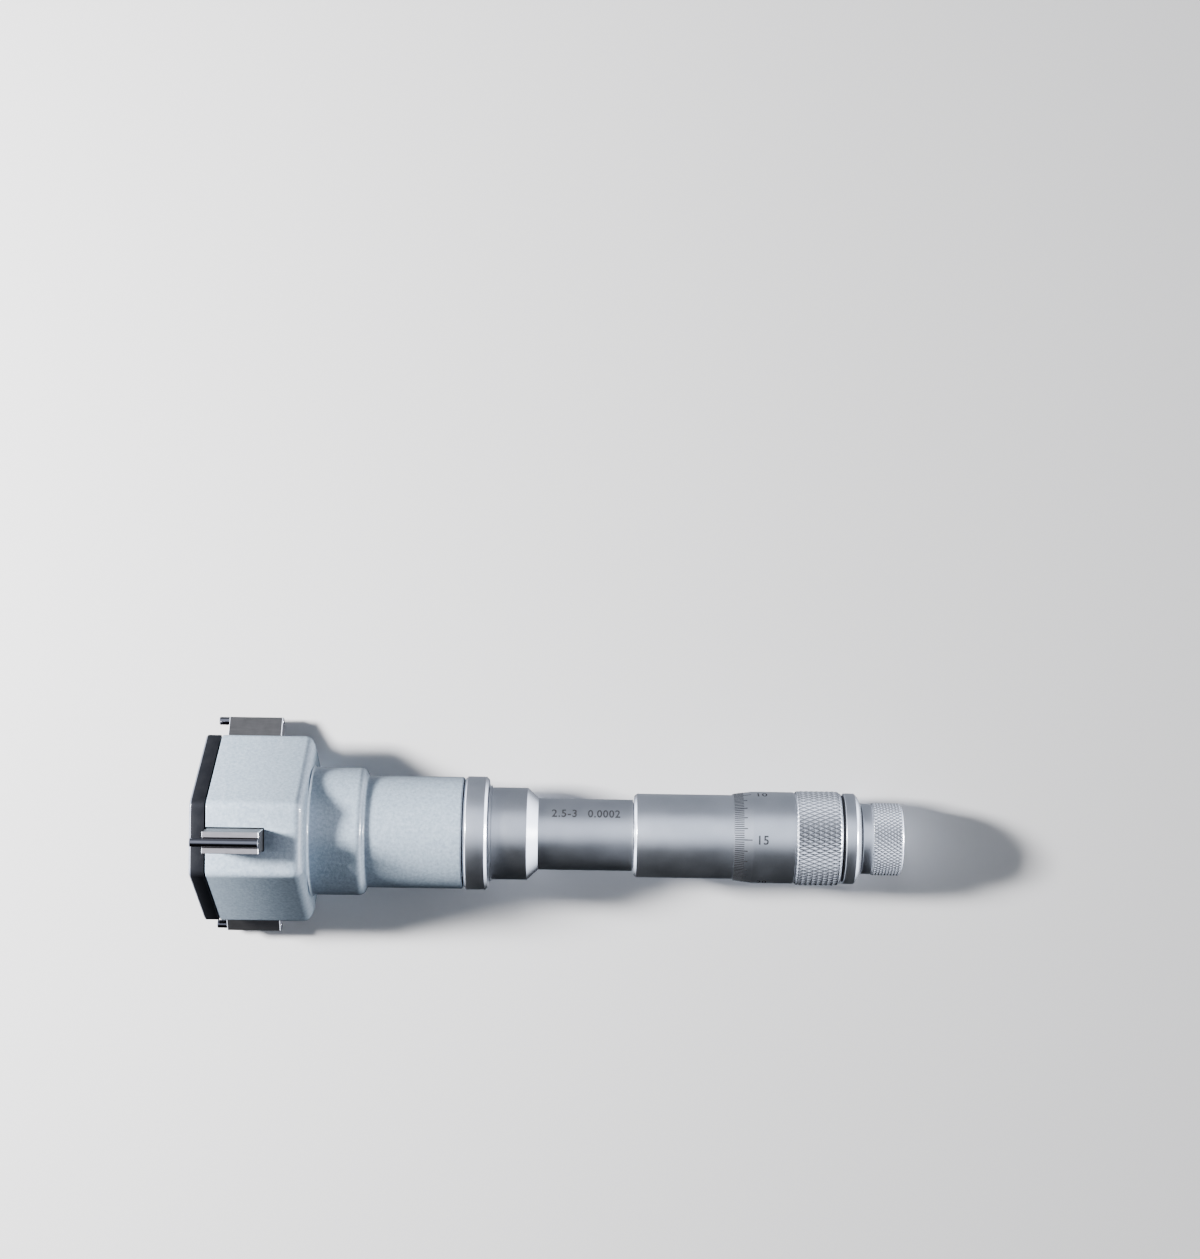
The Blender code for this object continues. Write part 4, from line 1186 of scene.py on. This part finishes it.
@dataclass
class ScaleSleeve:
    """The sleeve with the main scale, which faces away from the camera at this setting."""

    front: float
    rear: float
    radius: float
    bore: float
    reading: float
    edge_station: float
    chamfer: float = 0.7 * MM
    datum_turn: float = math.radians(-42.9)
    first_reading: float = 2.5
    last_reading: float = 3.0
    step: float = 0.025
    inch: float = 25.4 * MM
    line_width: float = 0.12 * MM
    short_line: float = 1.3 * MM
    long_line: float = 2.3 * MM
    ink: float = 0.012 * MM

    def build(self, paint: Paintbox) -> None:
        """Model the sleeve, its datum line, its graduations and numbers."""
        outline = [(self.front, self.radius - self.chamfer), (self.front + self.chamfer, self.radius),
                   (self.rear, self.radius)]
        sleeve = turned("graduated_sleeve", outline, [(self.front, self.bore), (self.rear, self.bore)])
        soften(sleeve, 0.05 * MM)
        # The front chamfer takes the brighter chrome as painted highlight.
        edge = self.front + self.chamfer
        dress(sleeve, paint, "satin_chrome", "frame", "satin_chrome", ["scale_sleeve"],
              [("highlight_chrome", lambda centre, normal: centre.x < edge and -0.95 < normal.x < -0.2)])
        self.graduate(paint)

    def station(self, reading: float) -> float:
        """Place of a reading along X."""
        return self.edge_station - (reading - self.reading) * self.inch

    def graduate(self, paint: Paintbox) -> None:
        """Lay the main scale on the sleeve."""
        count = int(round((self.last_reading - self.first_reading) / self.step))
        lines = []
        low = self.station(self.last_reading)
        high = self.station(self.first_reading)
        lines.append(self.line((low + high) / 2.0, high - low, 0.0, self.line_width))
        numbers = Lettering(paint, "frame", "satin_chrome")
        for number in range(count + 1):
            station = self.station(self.first_reading + number * self.step)
            long = number % 4 == 0
            length = self.long_line if long else self.short_line
            lines.append(self.line(station, self.line_width, length / 2.0, length))
            if long:
                tenth = round(10.0 * (self.first_reading + number * self.step))
                turn = self.datum_turn - (self.long_line + 1.3 * MM) / self.radius
                numbers.write(f"scale_number_{tenth}", str(tenth % 10), station + 0.5 * MM, self.radius,
                              turn, 1.6 * MM, 1.0 * MM, True)
        deselect()
        for line in lines:
            line.select_set(True)
        bpy.context.view_layer.objects.active = lines[0]
        bpy.ops.object.join()
        lines[0].name = "main_scale_lines"
        dress(lines[0], paint, "black_ink_and_shade", "frame", "satin_chrome")

    def line(self, station: float, length: float, offset: float, width: float) -> Object:
        """One inked line, bent round the sleeve.

        Args:
            station: Its middle along X.
            length: Its size along X.
            offset: Distance of its middle from the datum line, round the sleeve.
            width: Its size round the sleeve.

        Returns:
            The line.
        """
        item = slab((length, width, 2.0 * self.ink))
        if width > 4.0 * self.line_width:
            bpy.ops.mesh.select_all(action="SELECT")
            bpy.ops.mesh.subdivide(number_cuts=3)
        end_edit(item, "scale_line")
        for vert in item.data.vertices:
            along, across, out = vert.co
            angle = self.datum_turn - (offset + across) / self.radius
            vert.co = at_turn(station + along, self.radius + out, angle)
        return item


@dataclass
class Knurl:
    """A raised band with a diamond knurl between two chamfers."""

    name: str
    front: float
    rear: float
    tip: float
    floor: float
    around: int
    pitch: float
    depth: float
    chamfer: float
    cuts: int = 4

    def radius(self, station: float, turn: float) -> float:
        """Radius of the knurled surface.

        Args:
            station: Place along X.
            turn: Turn about X.

        Returns:
            The radius.
        """
        across = self.around * turn / FULL_TURN
        along = (station - (self.front + self.rear) / 2.0) / self.pitch
        gaps = [abs(value - round(value)) for value in (across + along, across - along)]
        height = 2.0 * min(gaps)
        edge = min(station - self.front, self.rear - station)
        limit = self.tip - max(0.0, self.chamfer - edge)
        return min(self.tip - self.depth * (1.0 - height), limit)

    def stations(self) -> List[float]:
        """Rows of the band along X, on the knurl's own grid."""
        step = self.pitch / (2.0 * self.cuts)
        middle = (self.front + self.rear) / 2.0
        count = int((self.rear - self.front) / 2.0 / step)
        rows = [middle + step * number for number in range(-count, count + 1)]
        plain = self.chamfer - self.depth
        ends = [self.front, self.front + plain * 0.5, self.rear - plain * 0.5, self.rear]
        inner = [row for row in rows if self.front + plain * 0.6 < row < self.rear - plain * 0.6]
        return sorted(set(inner + ends))

    def build(self, paint: Paintbox, finish: str, body: str) -> None:
        """Model the band from a grid that is wrapped round the axis, with painted highlight on its plain
        ends.

        Args:
            paint: The finishes.
            finish: Name of the knurl's finish.
            body: CAD body that it moves with.
        """
        rows = self.stations()
        columns = self.around * 2 * self.cuts
        deselect()
        bpy.ops.mesh.primitive_grid_add(x_subdivisions=columns, y_subdivisions=len(rows) - 1, size=2.0)
        item = start_edit()
        mesh = bmesh.from_edit_mesh(item.data)
        cell = {}
        for vert in mesh.verts:
            column = int(round((vert.co.x + 1.0) / 2.0 * columns))
            row = int(round((vert.co.y + 1.0) / 2.0 * (len(rows) - 1)))
            cell[vert] = (column, row)
            turn = FULL_TURN * column / columns
            vert.co = at_turn(rows[row], self.radius(rows[row], turn), turn)
        self.crease(mesh, cell, rows)
        bmesh.update_edit_mesh(item.data)
        bpy.ops.mesh.remove_doubles(threshold=SAME_POINT)
        bpy.ops.mesh.select_all(action="DESELECT")
        bpy.ops.mesh.select_non_manifold()
        bpy.ops.mesh.extrude_region_move()
        reshape(item, lambda place: at_turn(place.x, self.floor, math.atan2(place.z, place.y)), True)
        bpy.ops.mesh.bridge_edge_loops()
        end_edit(item, self.name)
        shade(item, 20.0)
        # The plain ends take the brighter chrome as painted highlight.
        plain = self.chamfer - self.depth
        dress(item, paint, finish, body, "satin_chrome", (),
              [("highlight_chrome",
                lambda centre, normal: min(centre.x - self.front, self.rear - centre.x) < plain)])

    def crease(self, mesh: bmesh.types.BMesh, cell: Dict[object, Tuple[int, int]],
               rows: Sequence[float]) -> None:
        """Split the faces that a groove crosses along the groove."""
        period = 2 * self.cuts
        step = self.pitch / period
        middle = (self.front + self.rear) / 2.0
        for face in list(mesh.faces):
            by_cell = {cell[vert]: vert for vert in face.verts}
            column = min(place[0] for place in by_cell)
            row = min(place[1] for place in by_cell)
            line = (rows[row] - middle) / step
            if abs(line - round(line)) > 0.01:
                continue
            grid_row = int(round(line))
            if (column + grid_row + 1) % period == 0:
                pair = ((column + 1, row), (column, row + 1))
            elif (column - grid_row) % period == 0:
                pair = ((column, row), (column + 1, row + 1))
            else:
                continue
            bmesh.utils.face_split(face, by_cell[pair[0]], by_cell[pair[1]])


@dataclass
class Thimble:
    """The thimble with its bevelled edge, graduations, numbers, grip and end cap."""

    front: float
    rear: float
    cap_front: float
    cap_rear: float
    bore: float = 11.3 * MM
    edge_wall: float = 0.12 * MM
    bevel_rear: float = 145.6 * MM
    radius: float = 12.1 * MM
    knurl_front: float = 156.8 * MM
    knurl_rear: float = 169.05 * MM
    knurl_radius: float = THIMBLE_GRIP_RADIUS
    divisions: int = 25
    fine_per_division: int = 5
    fine_rear: float = 143.2 * MM
    division_rear: float = 144.1 * MM
    five_rear: float = 145.3 * MM
    number_front: float = 146.95 * MM
    number_rear: float = 149.55 * MM
    number_height: float = 2.4 * MM
    fifteen_turn: float = math.radians(87.3)
    line_width: float = 0.25 * MM
    division_width: float = 0.27 * MM
    ink: float = 0.02 * MM
    hub_bore: float = 4.3 * MM
    web_front: float = 164.5 * MM
    cap_radius: float = 12.0 * MM
    cap_groove: float = 0.6 * MM
    cap_end_radius: float = 9.4 * MM
    cap_land_rear: float = 172.7 * MM

    def build(self, paint: Paintbox) -> None:
        """Model the sleeve, its lines, numbers, grip and cap."""
        outline = [
            (self.front, self.bore + self.edge_wall),
            (self.bevel_rear, self.radius),
            (self.knurl_front - 0.25 * MM, self.radius),
            (self.knurl_front, self.radius - 0.25 * MM),
            (self.knurl_rear, self.radius - 0.25 * MM),
            (self.rear, self.radius - 0.25 * MM),
        ]
        bore = [(self.front, self.bore), (self.web_front, self.bore),
                (self.web_front, self.hub_bore), (self.rear, self.hub_bore)]
        shell = turned("thimble_shell", outline, bore)
        shade(shell, 4.0)
        dress(shell, paint, "satin_chrome", "thimble_assembly", "satin_chrome", ["thimble"])
        Knurl("thimble_grip", self.knurl_front, self.knurl_rear, self.knurl_radius,
              floor=self.radius - 0.6 * MM, around=63, pitch=2.75 * MM, depth=THIMBLE_KNURL_DEPTH,
              chamfer=0.80 * MM).build(paint, "thimble_knurl", "thimble_assembly")
        self.graduate(paint)
        self.build_cap(paint)

    def build_cap(self, paint: Paintbox) -> None:
        """Model the plain cap behind the grip."""
        outline = [
            (self.cap_front, self.cap_radius - self.cap_groove),
            (self.cap_front + 0.45 * MM, self.cap_radius - self.cap_groove),
            (self.cap_front + 0.45 * MM, self.cap_radius - 0.15 * MM),
            (self.cap_front + 0.60 * MM, self.cap_radius),
            (self.cap_land_rear, self.cap_radius),
            (self.cap_land_rear + 0.75 * MM, self.cap_radius - 0.85 * MM),
            (self.cap_rear, self.cap_end_radius),
        ]
        bore = [(self.cap_front, self.hub_bore), (self.cap_rear, self.hub_bore)]
        cap = turned("clamp_cap", outline, bore)
        soften(cap, 0.06 * MM)
        # The rear chamfer takes the brighter chrome as painted highlight.
        land = self.cap_land_rear
        # The groove in front of the cap is inked black as painted shade.
        groove = self.cap_front + 0.44 * MM
        dress(cap, paint, "satin_chrome", "thimble_assembly", "satin_chrome", ["thimble_cap"],
              [("highlight_chrome", lambda centre, normal: centre.x > land and 0.3 < normal.x < 0.98),
               ("black_ink_and_shade", lambda centre, normal: centre.x < groove)])

    def surface(self, station: float) -> float:
        """Radius of the thimble's outside at a station."""
        edge = self.bore + self.edge_wall
        share = (station - self.front) / (self.bevel_rear - self.front)
        return edge + (self.radius - edge) * min(1.0, share)

    def graduate(self, paint: Paintbox) -> None:
        """Lay the lines round the bevel and the numbers behind it."""
        fine = self.divisions * self.fine_per_division
        start = self.front + 0.12 * MM
        rows = [
            ("fine_lines", fine, self.fine_rear, self.line_width),
            ("division_lines", self.divisions, self.division_rear, self.division_width),
            ("five_lines", self.divisions // 5, self.five_rear, self.division_width),
        ]
        for name, count, end, width in rows:
            self.lines(paint, name, count, start, end, width)
        numbers = Lettering(paint, "thimble_assembly", "satin_chrome")
        digit = (self.number_rear - self.number_front) * 0.44
        for number in range(0, self.divisions, 5):
            turn = self.fifteen_turn + FULL_TURN * (number - 15) / self.divisions
            two = number >= 10
            start = self.number_front if two else (self.number_front + self.number_rear - digit) / 2.0
            numbers.write(f"thimble_number_{number}", str(number), start, self.radius, turn,
                          self.number_height, self.number_rear - self.number_front if two else digit)

    def lines(self, paint: Paintbox, name: str, count: int, start: float, end: float, width: float) -> None:
        """Model one inked line on the bevel and copy it round the axis.

        Args:
            paint: The finishes.
            name: Name of the piece.
            count: Number of lines.
            start: Front end of a line.
            end: Rear end of a line.
            width: Width of a line.
        """
        item = slab((end - start, 2.0 * self.ink, width), ((start + end) / 2.0, 0.0, 0.0))
        reshape(item, lambda place: (place.x, self.surface(place.x) + place.y, place.z))
        bpy.ops.mesh.select_all(action="SELECT")
        bpy.ops.mesh.spin(steps=count - 1, dupli=True, angle=FULL_TURN * (count - 1) / count,
                          center=(0.0, 0.0, 0.0), axis=(1.0, 0.0, 0.0))
        end_edit(item, name)
        move_mesh(item, Matrix.Rotation(self.fifteen_turn, 4, "X"))
        dress(item, paint, "black_ink_and_shade", "thimble_assembly", "satin_chrome")


@dataclass
class Ratchet:
    """The ratchet knob with its knurled grip and the screw in its end."""

    front: float
    rear: float
    neck_radius: float = 9.3 * MM
    grip_front: float = 177.1 * MM
    grip_radius: float = RATCHET_GRIP_RADIUS
    chamber: float = 7.4 * MM
    floor: float = 182.1 * MM
    screw_radius: float = 3.0 * MM
    screw_front: float = 183.5 * MM
    hole_radius: float = 1.9 * MM

    def build(self, paint: Paintbox) -> None:
        """Model the knob, its grip and its screw."""
        inner = self.neck_radius - 0.25 * MM
        outline = [
            (self.front, self.neck_radius - 0.1 * MM),
            (self.front + 0.1 * MM, self.neck_radius),
            (self.grip_front, self.neck_radius),
            (self.grip_front, inner),
            (self.rear - 0.05 * MM, inner),
        ]
        well = self.screw_radius + 0.3 * MM
        bore = [(self.front, self.chamber), (self.floor, self.chamber), (self.floor, self.hole_radius),
                (self.screw_front - 0.3 * MM, self.hole_radius), (self.screw_front - 0.3 * MM, well),
                (self.rear - 0.05 * MM, well)]
        knob = turned("ratchet_shell", outline, bore)
        soften(knob, 0.05 * MM)
        dress(knob, paint, "satin_chrome", "ratchet_assembly", "satin_chrome", ["ratchet_knob"])
        Knurl("ratchet_grip", self.grip_front, self.rear, self.grip_radius,
              floor=self.neck_radius - 0.7 * MM, around=58, pitch=1.62 * MM, depth=RATCHET_KNURL_DEPTH,
              chamfer=0.52 * MM).build(paint, "ratchet_knurl", "ratchet_assembly")

        head = [
            (self.screw_front, self.screw_radius),
            (self.rear - 0.55 * MM, self.screw_radius),
            (self.rear - 0.3 * MM, self.screw_radius - 0.25 * MM),
        ]
        screw = turned("end_screw", head, (), SMALL_SIDES)
        slot = slab((1.2 * MM, 0.7 * MM, 8.0 * MM), (self.rear - 0.3 * MM, 0.0, 0.0))
        carve(screw, end_edit(slot, "screw_slot"))
        soften(screw, 0.05 * MM)
        dress(screw, paint, "ground_steel", "thimble_assembly", "ground_steel")


@dataclass
class Springs:
    """The return spring and the three anvil springs, copied from the frame."""

    nodes: Dict[str, Object]
    travel: float = 10.0 * MM
    anvil_travel: float = 5.0 * MM
    rod_seat: float = 46.4 * MM
    anvil_seat: float = 21.7 * MM

    def coil(self, paint: Paintbox, name: str, node: str, seat: float, travel: float) -> None:
        """Take one spring from the frame, clean and shade it, and give it its finish.

        Args:
            paint: The finishes.
            name: Name of the piece.
            node: CAD node that it stands for.
            seat: Distance of its fixed end from the origin along that direction. Not used.
            travel: How much it shortens at the joint's longer limit. Not used.
        """
        item = copied(self.nodes[node], name)
        pick(item)
        start_edit()
        bpy.ops.mesh.remove_doubles(threshold=SAME_POINT)
        end_edit(item, name)
        shade(item)
        dress(item, paint, "spring_steel", "frame", "spring_steel", [node])
        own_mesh(item)

    def build(self, paint: Paintbox) -> None:
        """Model all four."""
        self.coil(paint, "return_coil", "rod_return_spring", self.rod_seat,
                  self.travel)
        for side in Side:
            outward = Matrix.Rotation(side.turn, 3, "X") @ Vector((0.0, 0.0, 1.0))
            self.coil(paint, f"anvil_coil_{side.value}", f"anvil_spring_{side.value}",
                      self.anvil_seat, self.anvil_travel)


# Studio


@dataclass(frozen=True)
class Glow:
    """A bright part of the sky, which fades out away from one direction."""

    towards: Place
    low: float
    high: float
    power: float
    strength: float
    both_ways: bool = False

    def build(self, graph: Graph) -> Signal:
        """Return its brightness."""
        cosine = graph.facing(self.towards)
        if self.both_ways:
            cosine = cosine.size()
        return cosine.ramp(self.low, self.high) ** self.power * self.strength


@dataclass
class Studio:
    """Pale floor, pale surroundings and soft lights."""

    touch_front: Point
    touch_rear: Point
    floor_size: float = 12.0
    dome_radius: float = 7.0
    focus: Place = (0.015, 0.0, 0.0)
    tint: Colour = (0.90, 0.975, 1.15)
    crown: Glow = Glow((0.0, 0.423, 0.906), 0.50, 0.95, 1.7, 1.45)
    rear: Glow = Glow((0.0, 1.0, 0.0), -0.05, 0.2, 1.0, 0.36)
    ends: Glow = Glow((1.0, 0.0, 0.0), 0.30, 0.90, 1.6, 4.5, True)
    least: float = 0.008
    fill_towards: Place = (0.0, 0.35, 0.937)
    fill_low: Colour = (0.01, 0.01, 0.011)
    fill_high: Colour = (0.16, 0.172, 0.195)

    def build(self, paint: Paintbox) -> None:
        """Set up the floor, the surroundings and the lights."""
        rise = self.touch_rear[1] - self.touch_front[1]
        slope = math.atan2(rise, self.touch_rear[0] - self.touch_front[0])
        deselect()
        bpy.ops.mesh.primitive_plane_add(size=self.floor_size)
        floor = bpy.context.object
        floor.name = "floor"
        floor.rotation_euler.y = -slope
        floor.location = (self.touch_front[0], 0.0, self.touch_front[1])
        floor.data.materials.append(paint["pale_floor"])
        floor.data.materials[0].cycles.emission_sampling = "NONE"
        floor.visible_glossy = False
        floor.visible_diffuse = False
        backdrop = MaterialGraph("surroundings")
        backdrop.dress({"Base Color": (0.0, 0.0, 0.0), "Emission Color": (0.80, 0.81, 0.83),
                        "Emission Strength": 1.0})
        fill = MaterialGraph("fill_light")
        height = fill.facing(self.fill_towards).ramp(-0.2, 0.8)
        fill.dress({"Base Color": (0.0, 0.0, 0.0), "Emission Strength": 1.0,
                    "Emission Color": fill.mix(height, self.fill_low, self.fill_high)})
        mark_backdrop(floor, self.dome("surroundings", backdrop, "visible_camera"),
                 self.dome("fill_light", fill, "visible_diffuse"))
        self.light("key", (-0.489, 0.115, 0.328), size=0.095, power=19.0, colour=(1.0, 0.99, 0.98))
        self.light("right", (0.98, 0.02, 0.035), size=0.16, power=17.0, colour=(1.0, 1.0, 1.0))
        self.sky()

    def dome(self, name: str, graph: MaterialGraph, seen_by: str) -> Object:
        """Add a glowing dome that only one kind of ray sees.

        Args:
            name: Name of the dome.
            graph: Its glowing material.
            seen_by: The kind of ray.

        Returns:
            The dome.
        """
        deselect()
        bpy.ops.mesh.primitive_uv_sphere_add(segments=64, ring_count=32, radius=self.dome_radius)
        item = bpy.context.object
        item.name = name
        graph.material.cycles.emission_sampling = "NONE"
        item.data.materials.append(graph.material)
        for flag in ("visible_camera", "visible_diffuse", "visible_glossy", "visible_transmission",
                     "visible_shadow"):
            setattr(item, flag, flag == seen_by)
        return item

    def light(self, name: str, place: Place, size: float, power: float, colour: Colour) -> None:
        """Add a square soft light that faces the instrument.

        Args:
            name: Name of the light.
            place: Its place from the focus.
            size: Length of its sides.
            power: Its power, in watts.
            colour: Its colour.
        """
        lamp = bpy.data.lights.new(name, "AREA")
        lamp.shape = "RECTANGLE"
        lamp.size = lamp.size_y = size
        lamp.energy = power
        lamp.color = colour
        item = bpy.data.objects.new(name, lamp)
        bpy.context.scene.collection.objects.link(item)
        item.location = Vector(self.focus) + Vector(place)
        item.rotation_mode = "QUATERNION"
        item.rotation_quaternion = Vector(place).to_track_quat("Z", "Y")

    def sky(self) -> None:
        """What the metal reflects: a soft box above, white boxes at both ends, and a dark front."""
        world = bpy.data.worlds.new("studio_sky")
        bpy.context.scene.world = world
        world.use_nodes = True
        graph = Graph(world.node_tree, "Generated")
        background = world.node_tree.nodes["Background"]
        background.inputs["Color"].default_value = (*self.tint, 1.0)
        above = self.crown.build(graph).at_least(self.rear.build(graph))
        strength = above + self.ends.build(graph) + self.least
        world.node_tree.links.new(strength.socket, background.inputs["Strength"])
        world.cycles_visibility.diffuse = False
        world.cycles_visibility.camera = False


@dataclass
class PhotoCamera:
    """The camera, almost straight above the instrument, as in the photograph."""

    focal_pixels: float = 2450.0
    frame_height: float = 1259.0
    sensor: float = 36.0
    axis_point: Place = (104.61 * MM, 0.0, 0.0)
    distance: float = 653.8 * MM
    lean: float = math.radians(6.32)
    below_centre: float = math.radians(4.79)
    roll: float = math.radians(0.89)

    def build(self) -> None:
        """Place the camera and make it the scene's camera."""
        towards = Vector((0.0, math.sin(self.lean), math.cos(self.lean)))
        upwards = Vector((0.0, math.cos(self.lean), -math.sin(self.lean)))
        forward = upwards * math.sin(self.below_centre) - towards * math.cos(self.below_centre)
        up = upwards * math.cos(self.below_centre) + towards * math.sin(self.below_centre)
        right = forward.cross(up)
        rolled_up = up * math.cos(self.roll) - right * math.sin(self.roll)
        rolled_right = right * math.cos(self.roll) + up * math.sin(self.roll)
        turn = Matrix((rolled_right, rolled_up, -forward)).transposed()
        data = bpy.data.cameras.new("photo_camera")
        data.sensor_width = self.sensor
        data.lens = self.focal_pixels * self.sensor / self.frame_height
        data.clip_start = 0.01
        data.clip_end = 50.0
        camera = bpy.data.objects.new("photo_camera", data)
        bpy.context.scene.collection.objects.link(camera)
        place = Vector(self.axis_point) + towards * self.distance
        camera.matrix_world = Matrix.Translation(place) @ turn.to_4x4()
        bpy.context.scene.camera = camera


# Assembly


@dataclass
class Instrument:
    """The whole instrument, built in order round the frame."""

    frame: Dict[str, object]
    paint: Paintbox = field(default_factory=Paintbox)
    head_rest: float = 27.0 * MM
    grip_rest: float = 168.0 * MM

    def finish_inner_nodes(self) -> None:
        """Give every CAD node the finish of its slot."""
        slots = {part["node"]: part["material_slot"] for part in self.frame["record"]["subparts"]}
        for node, item in self.frame["nodes"].items():
            item.data.materials.clear()
            item.data.materials.append(self.paint[slots[node]])

    def build(self) -> None:
        """Build every sub-assembly."""
        self.finish_inner_nodes()
        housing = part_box("head_housing")
        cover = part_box("end_cover")
        section = HeadSection(narrow=housing[1].z, wide=-housing[0].z)
        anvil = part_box("anvil_top")
        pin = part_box("measuring_pin_top")
        pin_radius = (pin[1].y - pin[0].y) / 2.0
        pin_rear = pin[1].x
        width = anvil[1].y - anvil[0].y
        HeadHousing(section, housing[0].x, rear=29.5 * MM, shank_rear=housing[1].x, bore=11.9 * MM,
                    slot_rear=pin_rear + 0.3 * MM, slot_width=width + 0.6 * MM).build(self.paint)
        screws = {node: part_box(node) for node in self.frame["nodes"] if node.startswith("cover_screw")}
        EndCover(section, cover[0].x, cover[1].x, screws).build(self.paint)
        for side in Side:
            Anvil(side, anvil[0].x, pin_rear, anvil[1].x, foot_top=13.8 * MM, tip=anvil[0].z,
                  outer=pin[1].z - pin_radius, width=width, pin_front=pin[0].x, pin_radius=pin_radius,
                  incline_front=12.0 * MM).build(self.paint)
        Springs(self.frame["nodes"]).build(self.paint)
        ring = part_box("lock_ring")
        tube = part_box("frame_tube")
        FrameTube(ring[0].x, ring[1].x, ring[1].z, tube[0].x, tube[1].x).build(self.paint)
        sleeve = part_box("scale_sleeve")
        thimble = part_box("thimble")
        ScaleSleeve(sleeve[0].x, sleeve[1].x, sleeve[1].z, bore=8.9 * MM, reading=2.606,
                    edge_station=thimble[0].x).build(self.paint)
        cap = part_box("thimble_cap")
        Thimble(thimble[0].x, thimble[1].x, cap[0].x, cap[1].x).build(self.paint)
        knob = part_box("ratchet_knob")
        Ratchet(knob[0].x, knob[1].x).build(self.paint)
        self.light_stage()

    def light_stage(self) -> None:
        """Set the floor under the head's rear edge and the thimble's grip."""
        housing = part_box("head_housing")
        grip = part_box("thimble")
        Studio((self.head_rest, housing[0].z), (self.grip_rest, grip[0].z)).build(self.paint)


def corners(box: Tuple[Vector, Vector]) -> List[List[float]]:
    """A box as plain lists of numbers."""
    return [list(corner) for corner in box]


def main() -> None:
    """Load the frame, build the instrument, the studio and the camera, and gather the sizes."""
    logging.basicConfig(level=logging.INFO, format="%(message)s")
    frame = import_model()
    packed = corners(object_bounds())
    PhotoCamera().build()
    Instrument(frame).build()
    deselect()
    {"cad": packed, "visual": corners(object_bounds())}


if __name__ == "__main__":
    main()
